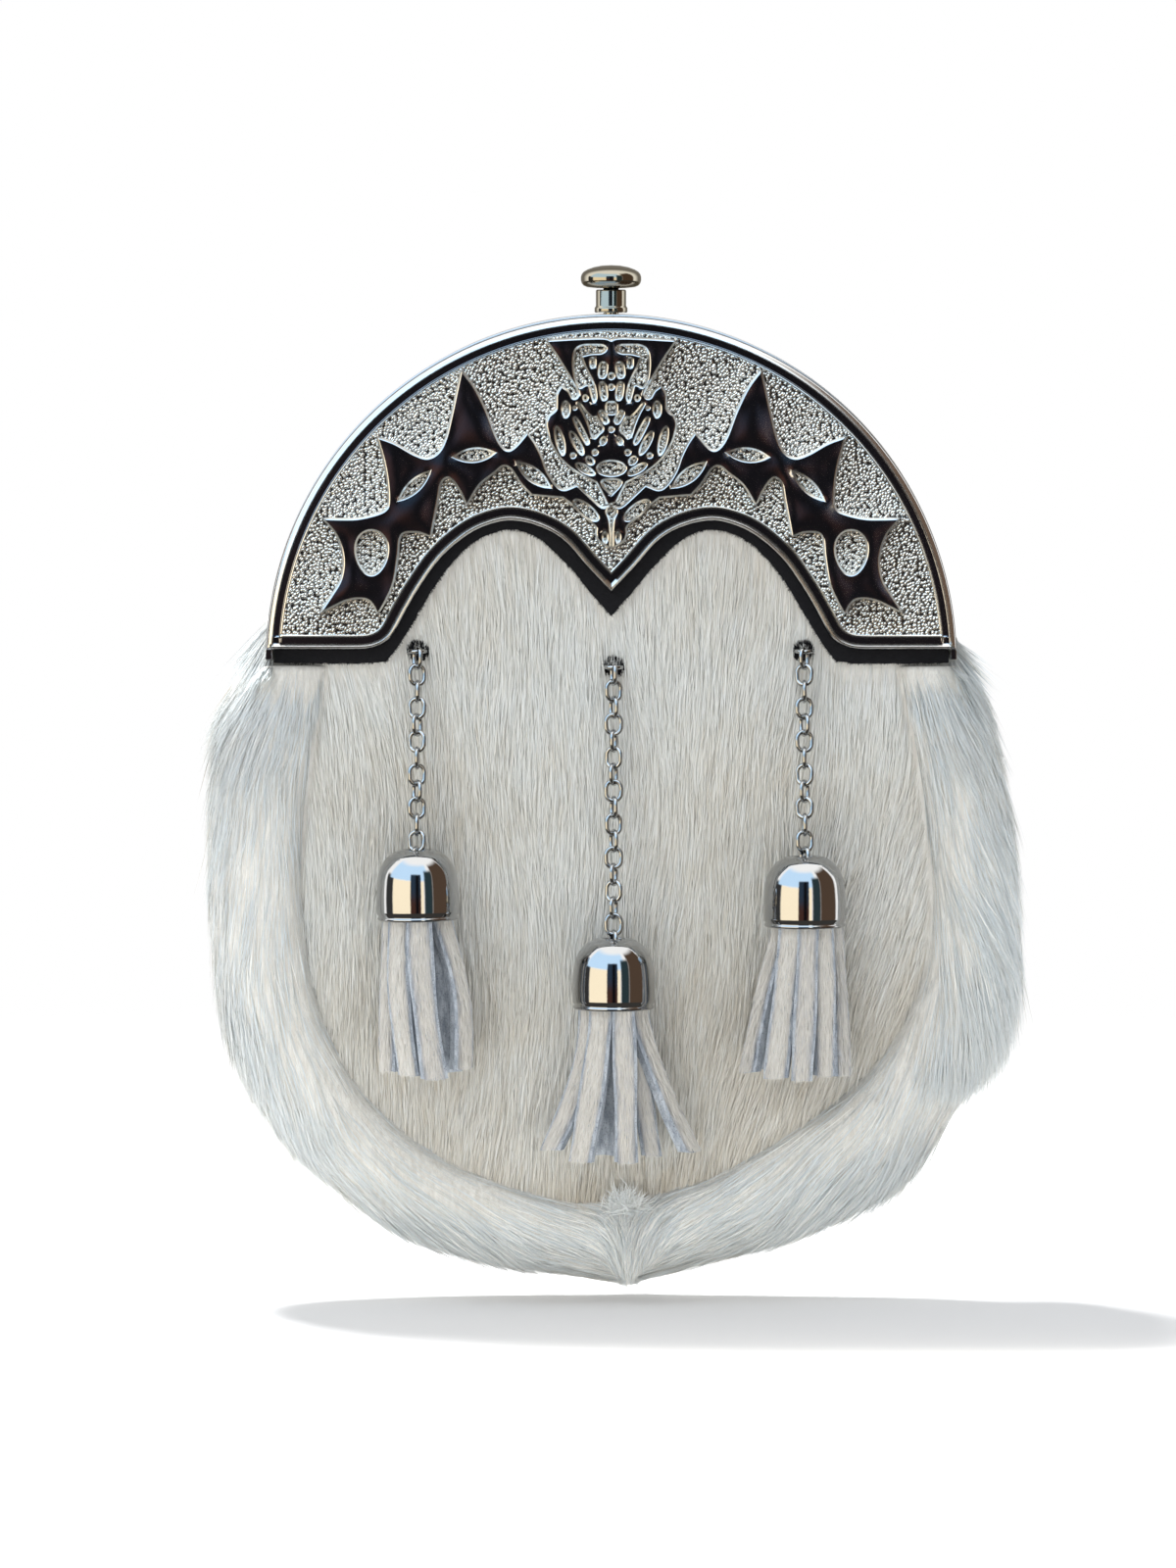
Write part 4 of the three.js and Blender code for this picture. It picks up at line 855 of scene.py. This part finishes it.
at, back = nearest(flat, cantle_ring), len(flat) + np.arange(len(cantle_ring))
wall = np.stack([at, np.roll(at, -1), np.roll(back, -1), back], 1)
plate = np.concatenate([front, standing(cantle_ring, plate_back)]), [faces, wall, [back[::-1]]]
ear_height, ear_radius, seam_depth = 4.0, 3.35, -16.9
strap_foot, strap_steps, bevel = 0.65, 300, 0.18


def eared(level, radius):
    """The depth of a strap's edge by its height: level, and brought forward round the hinge ear."""
    return lambda high: np.minimum(
        level, seam_depth - np.sqrt(np.maximum(radius**2 - (high - ear_height) ** 2, 0)))


def strap(outer, inner, front, rear):
    """A band on edge round the top of the pouch. front and rear are depths, or give them by height."""
    start = math.asin(strap_foot / outer)
    share = np.linspace(-1, 1, strap_steps)
    turns = math.pi / 2 + (math.pi / 2 - start) * (share * 0.55 + 0.45 * np.sin(share * math.pi / 2))
    high = outer * np.sin(turns)
    f, r = (edge(high) if callable(edge) else np.full(strap_steps, edge) for edge in (front, rear))
    section = [(outer, f + bevel), (outer, r - bevel), (outer - bevel, r), (inner + bevel, r),
               (inner, r - bevel), (inner, f + bevel), (inner + bevel, f), (outer - bevel, f)]
    rows = [standing(radius * np.stack([np.cos(turns), np.sin(turns)], 1), y) for radius, y in section]
    return np.stack(rows, 1).reshape(-1, 3), sleeve(strap_steps, len(section), inward=True)


def merged(*parts):
    """Several (points, faces) as one."""
    points, faces, start = [], [], 0
    for p, f in parts:
        points.append(p)
        faces += [np.asarray(rows) + start for rows in f]
        start += len(p)
    return np.concatenate(points), faces


def plating(name, colour, rough, cast=False):
    """Bright plate with faint wear and clouding; on a casting, a paler pebbled ground with painted shade
    between the pebbles, and edges with a brush finish and a painted highlight.
    """
    board, shader, made = finish(name)
    cloud = board.noise(160.0, 3.0)
    tint = board.mix(cloud * 0.5, colour, shaded(colour, 0.86))
    gloss = cloud * 0.05 + rough
    normal = board.bump(board.noise(2500.0, 2.0), 0.01, 0.35)
    if cast:
        x, _, z = board.parts(board.place())
        spot = board.add("ShaderNodeCombineXYZ", {}, {0: x, 1: z})
        sockets = {"Vector": spot, "Scale": 700.0, "Detail": 1.0}
        warp = board.add("ShaderNodeTexNoise", {}, sockets, "Color")
        spot = board.add("ShaderNodeMix", {"data_type": "VECTOR"}, {0: 0.00045, 4: spot, 5: warp}, 1)
        sockets = {"Vector": spot, "Scale": 1450.0}
        gap = board.add("ShaderNodeTexVoronoi", {"voronoi_dimensions": "2D"}, sockets)
        pebble = 1 - gap * gap * 2.3
        pebble = pebble.maths("MAXIMUM", pebble, 0.0)
        mask = board.add("ShaderNodeAttribute", {"attribute_name": "grain"}, {}, "Fac")
        edge = board.add("ShaderNodeAttribute", {"attribute_name": "brushed"}, {}, "Fac")
        normal = board.bump(pebble * mask, 0.36, 1.0, normal)
        # The edges are rougher for their brush finish, and paler as a painted highlight.
        gloss = gloss + mask * 0.14 + edge * 0.2
        tint = board.mix(edge, tint, (0.86, 0.85, 0.82))
        # The pebbled ground is a paler, rougher plate, and painted shade darkens the gaps between its
        # pebbles.
        tint = board.mix(mask, tint, (0.97, 0.94, 0.89))
        tint = board.mix(mask * pebble.fall(0.0, 0.26) * 0.85, tint, (0.03, 0.03, 0.035))
    board.feed(shader, {"Base Color": tint, "Roughness": gloss, "Normal": normal, "Metallic": 1.0})
    return made


points, faces = merged(plate, strap(frame_radius, rim_inner, -30.5, eared(flange_rear, ear_radius + 0.3)))
cast_plate = plating("bright_cast_plate", (0.50, 0.50, 0.52), 0.06, cast=True)
cantle = fit(mesh_of("cantle_casting", points, faces, cast_plate), "cantle")
for name, column in (("grain", grain), ("brushed", brushed)):
    values = np.zeros(len(points), np.float32)
    values[:len(flat)] = column
    cantle.data.attributes.new(name, "FLOAT", "POINT").data.foreach_set("value", values)

# Edges along the bends of the relief stay crisp, and the flats between them stay flat in their shine.
cantle.data.set_sharp_from_angle(angle=math.radians(30))
bend = np.full(len(points), -1)
for k, level in enumerate(relief_steps):
    bend[np.nonzero(np.abs(depth - level) < 0.012)[0]] = k
ends = np.empty(len(cantle.data.edges) * 2, np.int32)
cantle.data.edges.foreach_get("vertices", ends)
first, second = bend[ends.reshape(-1, 2)].T
crisp = cantle.data.attributes["sharp_edge"].data
sharp = np.empty(len(first), bool)
crisp.foreach_get("value", sharp)
crisp.foreach_set("value", sharp | ((first == second) & (first >= 0)))
flat_tops = cantle.modifiers.new("flat_tops", "WEIGHTED_NORMAL")
flat_tops.weight, flat_tops.keep_sharp = 90, True

# Rear half of the frame. A steel strap with round ears stands on edge behind the cantle, and is pinned
# to it at the two lower corners.
dark_steel = plating("frame_steel", (0.55, 0.55, 0.56), 0.26)
points, faces = strap(76.3, 74.9, eared(-16.75, ear_radius), body_depth)
fit(mesh_of("frame_rear_band", points, faces, dark_steel), "frame_band")

# Catch. A turned and plated knob on a rod is pulled up through a short collared boss, which is screwed
# into the top of the frame's rear half.
catch_depth = -9.75
catch_plate = plating("catch_plate", (0.36, 0.33, 0.27), 0.05)


def turned(profile, sides=64, depth=0.0):
    """A turned piece about an upright axis, from rows of (radius, height)."""
    turns = np.linspace(0, 2 * math.pi, sides, False)
    points, faces, rings = [], [[], []], []
    for radius, z in profile:
        rings.append((len(points), radius > 0))
        if radius > 0:
            points += [(radius * math.cos(t), depth + radius * math.sin(t), z) for t in turns]
        else:
            points.append((0.0, depth, z))
    for (a, full_a), (b, full_b) in zip(rings, rings[1:]):
        for i in range(sides):
            j = (i + 1) % sides
            if full_a and full_b:
                faces[0].append((a + i, a + j, b + j, b + i))
            else:
                faces[1].append((a + i, a + j, b) if full_a else (a, b + j, b + i))
    return np.array(points), [f for f in faces if f]


boss_rows = [
    (2.05, 46.6), (3.5, 46.6), (3.65, 46.75), (3.65, 47.6), (3.5, 47.85), (3.35, 48.05), (3.35, 51.45),
    (3.2, 51.68), (2.05, 51.7), (2.05, 46.6)]
knob_rows = [
    (0, 40.4), (2.8, 40.4), (3.0, 40.6), (3.0, 41.4), (2.8, 41.6), (1.7, 41.6), (1.7, 52.0), (3.1, 52.0),
    (5.3, 52.25), (6.1, 52.6), (6.5, 53.1), (6.68, 53.75), (6.68, 54.5), (6.5, 55.1), (6.05, 55.65),
    (5.2, 56.15), (3.8, 56.65), (2.0, 57.0), (0, 57.1)]
for node, rows, body in (("knob_boss", boss_rows, "root"), ("knob", knob_rows, "knob")):
    piece = mesh_of(f"{node}_turning", *turned(rows, depth=catch_depth), catch_plate)
    fit(piece, node, body).modifiers.new("rounded", "BEVEL").width = 0.12 * MM

# Hinge pins. A short steel pin goes through each ear of the frame, where the cantle swings forward, and
# its end is rounded over.
hinge_rows = [(0, 73.1), (0.8, 73.1), (1.0, 73.3), (1.0, 76.1), (0.75, 76.4), (0, 76.45)]
points, faces = turned(hinge_rows, 20)
across, along, out = points.T
for side, hand in hands.items():
    points = np.stack([hand * out, across + seam_depth, hand * along + arc_height + ear_height], 1)
    fit(mesh_of(f"hinge_rivet_{side}", points, faces, dark_steel), f"hinge_pin_{side}")

# Drops. From a pin behind the panel a fine curb of oval links comes out through a black-edged hole and
# hangs to a plated bell. The last link holds the staple of a tassel, whose head sits inside the bell.
# A drop has its hole, the links outside it, how far the bell rides up and how far the tassel tilts.
link_bend, link_straight, link_wire, pitch = 1.68, 0.50, 0.49, 3.67
first_link, hang_depth, hang_below = -21.745, -27.6, 1.485
drops = {"left": (drop_holes[0], 13, 1.8, -1.0), "centre": (drop_holes[1], 17, 0.6, 0.0),
         "right": (drop_holes[2], 13, 0.3, 0.0)}
ends = {}
bell_height, bell_radius, bell_wall, bell_mouth, lip_wire = 15.5, 9.05, 0.8, 2.6, 0.42


def circle(count):
    """Even places round a circle of radius 1: how far out and how far up they are."""
    turns = np.linspace(0, 2 * math.pi, count, False)
    return np.cos(turns), np.sin(turns)


def tube(centres, radius, sides, closed=True):
    """A round wire along a line of centres, capped where it isn't closed."""
    if closed:
        ahead = unit(np.roll(centres, -1, 0) - np.roll(centres, 1, 0))
    else:
        ahead = unit(np.gradient(centres, axis=0))
    axis = [0.0, 1.0, 0.0] if np.abs(ahead[:, 1]).max() < 0.9 else [1.0, 0.0, 0.0]
    first = unit(np.cross(ahead, axis))
    second = np.cross(ahead, first)
    c, s = circle(sides)
    grid = centres[:, None] + radius * (c[:, None] * first[:, None] + s[:, None] * second[:, None])
    return grid.reshape(-1, 3), sleeve(len(centres), sides, closed=closed)


def spun(points, axis, degrees):
    """Points turned about an axis through the origin."""
    c, s = math.cos(math.radians(degrees)), math.sin(math.radians(degrees))
    a, b = {"x": (1, 2), "y": (2, 0), "z": (0, 1)}[axis]
    out = np.array(points, float)
    out[:, a], out[:, b] = points[:, a] * c - points[:, b] * s, points[:, a] * s + points[:, b] * c
    return out


def hung(points, name):
    """Points drawn about the last link's centre, put where that drop hangs."""
    return spun(points, "y", drops[name][3]) + ends[name]


c, s = circle(24)
stretch = np.where(s >= 0, link_straight, -link_straight)
path = np.stack([link_bend * c, np.zeros(24), link_bend * s + stretch], 1)
link, link_faces = tube(path, link_wire, 8)
pin_rows = [(0, -6.0), (0.65, -6.0), (0.8, -5.85), (0.8, 5.85), (0.65, 6.0), (0, 6.0)]
pin, pin_faces = turned(pin_rows, 16)

# The bell's wall from its hole over the dome, round the rolled lip and back up inside.
outer = [(bell_mouth, 0.0), (0.40 * bell_radius, 0.05)]
outer += [(out * bell_radius, -down * bell_height) for down, out in
          ((0.020, 0.52), (0.110, 0.74), (0.300, 0.93), (0.600, 0.997), (0.90, 1.0))]
groove = np.array([(0.963, -0.925), (0.963, -0.94)]) * [bell_radius, bell_height]
outer = np.concatenate([smooth_rows(outer, 40), groove])
lip_out, lip_up = 0.985 * bell_radius - lip_wire, -0.965 * bell_height
lip = [(lip_out + lip_wire * math.cos(t), lip_up + lip_wire * math.sin(t))
       for t in np.linspace(math.pi / 4, -math.pi, 12)]
ahead = unit(np.gradient(outer, axis=0))
inner = (outer + np.stack([ahead[:, 1], -ahead[:, 0]], 1) * bell_wall)[::-1]
mouth = [(bell_mouth, -0.4)]
bell_rows = [*mouth, *outer.tolist(), *lip, *inner[1:-4].tolist(), (bell_mouth, -bell_wall), *mouth]
bell, bell_faces = turned(bell_rows, 72)

chain_plate = plating("chain_plate", (0.50, 0.50, 0.50), 0.07)
bell_plate = plating("bell_plate", (0.46, 0.46, 0.465), 0.03)
chain_forward, hole_hairs, edge_sides = 7.25, 260, 28
edge_rings = [
    (1.15, panel_back), (1.1, panel_face + 0.1), (1.5, panel_face - 0.1), (2.65, panel_face + 0.15)]
for name, (hole, links, sunk, _) in drops.items():
    lean = math.asin(-chain_forward / (pitch * (links - 1)))
    shift = np.array([hole[0], body_depth, hole[1] + arc_height])
    parts = [spun(spun(link, "x", 90), "y", 90) + shift + [0, first_link, 0],
             spun(link, "x", 90) + shift + [0, first_link - pitch, 0]]
    step = np.array([0, math.sin(lean), -math.cos(lean)]) * pitch
    start = shift + [0, hang_depth, -hang_below]
    for i in range(links):
        turn = (0 if i % 2 else 90) + 26 * math.sin(i * 0.8 + hole[0])
        parts.append(spun(spun(link, "z", turn), "x", math.degrees(lean)) + start + step * i)
    ends[name] = start + step * (links - 1)
    chain = merged(*((points, link_faces) for points in parts))
    fit(mesh_of(f"links_{name}", *chain, chain_plate), f"chain_{name}")
    points = pin[:, [2, 1, 0]] + shift + [0, -20.9, 0]
    fit(mesh_of(f"pin_{name}", points, pin_faces, dark_steel), f"chain_pin_{name}")

    c, s = circle(edge_sides)
    points = np.concatenate([standing(np.stack([r * c, r * s], 1) + hole, y) for r, y in edge_rings])
    faces = sleeve(len(edge_rings), edge_sides, inward=True)[:1]
    fit(mesh_of(f"hole_edge_{name}", points, faces, felt, smooth=False))
    turns = hair.uniform(0, 2 * math.pi, hole_hairs)
    ray = np.stack([np.cos(turns), np.full(hole_hairs, -0.35), np.sin(turns)], 1)
    roots = shift + [0, panel_face - body_depth - 0.1, 0] + ray * [1.5, 0.2, 1.5]
    heading = unit(ray * [0.6, 1, 0.6] + [0, 0, 0.5] + hair.normal(0, 0.35, (hole_hairs, 3)))
    fibres = fur(f"hole_fibres_{name}", roots, heading, to_front, 1.2, 0.1, 0.5, felt, hair, 0.0, 0.11)
    fit(fibres)

    points = hung(bell + [0, 0, sunk], name)
    fit(mesh_of(f"bell_{name}_turning", points, bell_faces, bell_plate), f"bell_{name}")

# Tassels. Each is a cluster of strips cut from hair-on hide and bound to a head inside the bell. A
# strip's hair lies on the face turned outward, and its cut edges show blue-grey and fibrous.
# Places are shares of the bell's radius, facing is the turn of the hair side from the front, bow is how
# far the strip bellies sideways, and length is a share of the longest.
tassel_length, strip_thick, head_height = 36.0, 1.9, 8.0
staple_top, staple_bend, staple_wire = -1.195, 1.6, 0.45
head_top = staple_top - 2 * staple_bend + staple_wire
strips = {
    "left": [
        (-0.60, -0.74, 0.06, 0.50, -36, -0.05, 0.965), (-0.44, -0.26, -0.34, 0.54, -12, -0.08, 0.985),
        (0.04, 0.34, -0.56, 0.62, 3, -0.03, 1.005), (0.55, 0.98, -0.05, 0.52, 34, 0.24, 0.955),
        (-0.26, -0.40, 0.50, 0.60, 180, 0.0, 0.955), (0.30, 0.70, 0.20, 0.60, 172, 0.04, 0.985)],
    "centre": [
        (-0.55, -1.50, -0.05, 0.56, -30, 0.10, 0.94), (-0.28, -0.78, -0.46, 0.62, -16, -0.02, 1.00),
        (0.24, 0.30, -0.54, 0.56, 2, 0.02, 1.005), (0.55, 1.84, -0.05, 0.58, 46, 0.02, 0.95),
        (-0.30, -0.20, 0.36, 0.60, 176, 0.0, 0.985), (0.42, 0.92, 0.10, 0.50, 10, 0.05, 0.98)],
    "right": [
        (-0.55, -1.32, 0.00, 0.50, -48, -0.12, 0.975), (-0.32, -0.70, -0.42, 0.58, -12, -0.05, 1.00),
        (0.06, -0.08, -0.56, 0.54, 0, 0.0, 1.01), (0.44, 0.46, -0.32, 0.50, 8, 0.03, 0.99),
        (-0.28, -0.90, 0.50, 0.60, 180, 0.0, 0.97), (0.66, 0.86, 0.08, 0.50, 40, 0.06, 0.995)],
}


# The cut edges and the flesh side of a strip are dyed leather fibres, scuffed and shadowed.
board, shader, suede = finish("cut_hide_edge")
nap = board.noise(2600.0, 4.0, rough=0.75)
fibre = board.noise(1100.0, 3.0, board.stretched(1.0, 1.0, 0.25), 0.7)
tint = board.mix(fibre.rise(0.3, 0.7), (0.30, 0.34, 0.40), (0.58, 0.63, 0.68))
board.feed(shader, {
    "Base Color": board.mix(nap.fall(0.36, 0.46) * 0.6, tint, (0.10, 0.10, 0.12)),
    "Roughness": 0.9,
    "Normal": board.bump(nap + fibre, 0.22, 0.9),
    "Specular IOR Level": 0.2,
})
strip_steps, strip_across, strip_crown = 22, 9, 0.95


def strip_of(row, rim, wave):
    """A strip as a solid, and the grid of its hair side, about the last link's centre."""
    root, foot, depth, breadth, facing, bow, length = row
    low = head_top - head_height - tassel_length * length
    share = np.linspace(0, 1, strip_steps)
    z = (head_top - head_height / 2) * (1 - share) + low * share
    past = ((rim - z) / (rim - low)).clip(0, 1)
    x = (root + (foot - root) * past**1.4 + bow * np.sin(past * math.pi)) * bell_radius
    y = depth * bell_radius * (1 + 0.15 * past) + 0.35 * np.sin(past * 4 + wave)
    turn = np.radians(facing + 4 * np.sin(past * 3 + wave))
    side = np.stack([np.cos(turn), np.sin(turn), np.zeros(strip_steps)], 1)
    out = np.stack([np.sin(turn), -np.cos(turn), np.zeros(strip_steps)], 1)
    width = breadth * bell_radius * (1 + 0.06 * np.sin(share * 9 + wave))
    across = np.linspace(-1, 1, strip_across)
    middle = np.stack([x, y, z], 1)[:, None] + side[:, None] * (across[:, None] * width[:, None, None] / 2)
    middle[-1, :, 2] += 0.18 * np.sin(across * 2.5 + wave)
    crown = (1 - across**2)[:, None] * strip_crown
    front = middle + out[:, None] * (strip_thick / 2 + crown)
    back = middle - out[:, None] * strip_thick / 2
    loop = np.concatenate([front, back[:, ::-1]], 1)
    return loop.reshape(-1, 3), sleeve(*loop.shape[:2], inward=True), front, out, low


strip_stops = [(0.0, (0.32, 0.35, 0.40)), (0.3, (0.58, 0.585, 0.59)), (0.55, (0.72, 0.70, 0.65)),
               (0.8, (0.76, 0.755, 0.72)), (1.0, (0.74, 0.79, 0.81))]
strip_hair = hair_finish("tassel_hair", strip_stops, 0.45)
c, s = circle(28)
staple = np.stack([staple_bend * c, np.zeros(28), staple_bend * s - staple_bend + staple_top], 1)
head_foot = head_top - head_height
head_rows = [(0, head_top), (6.9, head_top), (7.3, head_top - 0.4), (7.3, head_foot), (0, head_foot)]
head = turned(head_rows, 32)
for name, (_, links, sunk, _) in drops.items():
    points, faces = tube(staple if links % 2 else spun(staple, "z", 90), staple_wire, 8)
    fit(mesh_of(f"staple_{name}", hung(points, name), faces, dark_steel))
    solids, locks = [head], []
    for k, row in enumerate(strips[name]):
        points, faces, sheet, out, low = strip_of(row, sunk - bell_height, k * 1.7 + ends[name][0])
        solids.append((points, faces))
        showing = 1200 if abs(row[4]) > 90 else 2500
        roots, along, aside, s, u = scatter(sheet[:, 1:-1], showing, hair)
        outward = out[(s * (strip_steps - 1)).astype(int)]
        length = np.minimum(3.6, roots[:, 2] - low + 0.1)
        heading = along + aside * (0.04 * np.sin(s * 11 + k) - (u - 0.5) * 0.06)[:, None]
        # Painted shade darkens the strips at the back. Each strip also darkens to blue-grey at its edges,
        # partly the colour of its cut hide and partly painted shade on its rounded sides.
        tone = 0.58 + 0.10 * np.sin(k * 2.1) - 0.10 * (row[2] > 0.2) - 0.45 * (np.abs(u - 0.5) * 2) ** 5
        locks.append((roots + outward * 0.05, heading, outward, length, tone))
    tassel = mesh_of(f"strips_{name}", *merged(*solids), suede, smooth=False)
    roots, heading, outward, length, tone = (np.concatenate(column) for column in zip(*locks))
    coat = fur(f"strip_hair_{name}", roots, heading, outward, length, 0.035, tone, strip_hair, hair,
               lock=0.0, width=0.14)
    for piece in (fit(tassel, f"tassel_{name}"), fit(coat)):
        at = np.empty(len(piece.data.vertices) * 3)
        piece.data.vertices.foreach_get("co", at)
        piece.data.vertices.foreach_set("co", (hung(at.reshape(-1, 3) / MM, name) * MM).ravel())
        piece.data.update()

# Back panel. Black grained leather, sewn to the rolls' hems all round and glued up into the frame.
board, shader, leather = finish("black_leather")
sockets = {"Vector": board.place(), "Scale": 620.0}
cell = board.add("ShaderNodeTexVoronoi", {"feature": "DISTANCE_TO_EDGE"}, sockets)
fold = board.noise(70.0, 3.0)
board.feed(shader, {
    "Base Color": board.mix(fold, (0.013, 0.012, 0.011), (0.030, 0.027, 0.025)),
    "Roughness": 0.42 + fold * 0.2,
    "Normal": board.bump(cell.rise(0.0, 0.12), 0.12, 0.7, board.bump(fold, 1.2, 0.25)),
})
board, shader, thread = finish("waxed_thread")
twist = board.noise(1500.0, 2.0)
board.feed(shader, {
    "Base Color": board.mix(twist, (0.03, 0.03, 0.03), (0.07, 0.065, 0.06)),
    "Roughness": 0.7,
})


def stitches(line, depth, length, gap):
    """Short capsules of thread along a line of an outline, lying on a face at that depth."""
    walked = np.concatenate([[0], np.cumsum(np.linalg.norm(np.diff(line, axis=0), axis=1))])
    parts = []
    for start in np.arange(gap / 2, walked[-1] - length, length + gap):
        t = start + np.array([0, 0.12, 0.5, 0.88, 1]) * length
        flat = np.stack([np.interp(t, walked, line[:, 0]), np.interp(t, walked, line[:, 1])], 1)
        y = depth + np.array([-0.25, 0.12, 0.26, 0.12, -0.25])
        parts.append(tube(standing(flat, y), 0.32, 6, closed=False))
    return merged(*parts)


backs = {}
for side in hands:
    seam, rim, _ = stations(side)
    backs[side] = seam + unit(rim - seam) * (back_inset - 0.3)
back_edge = np.concatenate([arc(74.6, 0.4, 90), backs["left"], backs["right"][::-1]])
seam_inset, edge_round, leather_thick = 3.8, 0.5, 2.0
loops = [back_edge] + [shifted(back_edge, d) for d in (edge_round, seam_inset - 0.6, seam_inset + 0.6)]
flat, faces = filled(loops, 5.0, (-86, -128), (86, 78), lambda p: inside(p, back_edge) > 0)
depth_in = inside(flat, back_edge)
rounding = 0.45 * (1 - depth_in / edge_round).clip(0, 1)
rear = body_depth - rounding - 0.22 * np.exp(-((depth_in - seam_inset) / 0.8) ** 2)
points, faces = slab(flat, faces[:, ::-1], rear, body_depth - leather_thick, [back_edge[::-1]])
fit(mesh_of("back_leather", points, faces, leather), "back_panel")
line = shifted(back_edge, seam_inset)
line = np.concatenate([line, line[:1]])
fit(mesh_of("back_stitching", *stitches(line, body_depth - 0.23, 2.7, 0.9), thread))

# Belt loops. Two leather straps are bent out from the back panel and sewn down at both ends.
loop_out, loop_half, loop_thick, soft, loop_seam = 24, 10.0, 1.25, 0.45, 24.9
path = [(-1.2, 26.5), (-1.2, 22.0), (-1.2, 19.6), (-0.8, 18.2), (0.6, 17.35), (2.4, 17.1), (3.5, 16.5),
        (4.0, 15.2), (4.0, 8.0)]
path = smooth_rows(path + [(y, -z) for y, z in path[::-1]], 90)
ahead = unit(np.gradient(path, axis=0))
normal = np.stack([ahead[:, 1], -ahead[:, 0]], 1) * -1
a, b = loop_half, loop_thick
section = [(-a, -b + soft), (-a + soft, -b), (a - soft, -b), (a, -b + soft),
           (a, b - soft), (a - soft, b), (-a + soft, b), (-a, b - soft)]
for side, hand in hands.items():
    middle = hand * loop_out
    points = [(middle + out, *(p + n * thick)) for p, n in zip(path, normal) for out, thick in section]
    loop = mesh_of(f"loop_{side}_leather", points, sleeve(len(path), len(section)), leather)
    fit(loop, f"belt_loop_{side}")
    line = np.array([(middle - 8.6, -arc_height), (middle + 8.6, -arc_height)])
    seams = [line + [0, loop_seam], line - [0, loop_seam]]
    points, faces = merged(*(stitches(line, 0.1, 2.4, 0.8) for line in seams))
    fit(mesh_of(f"loop_{side}_stitching", points, faces, thread))
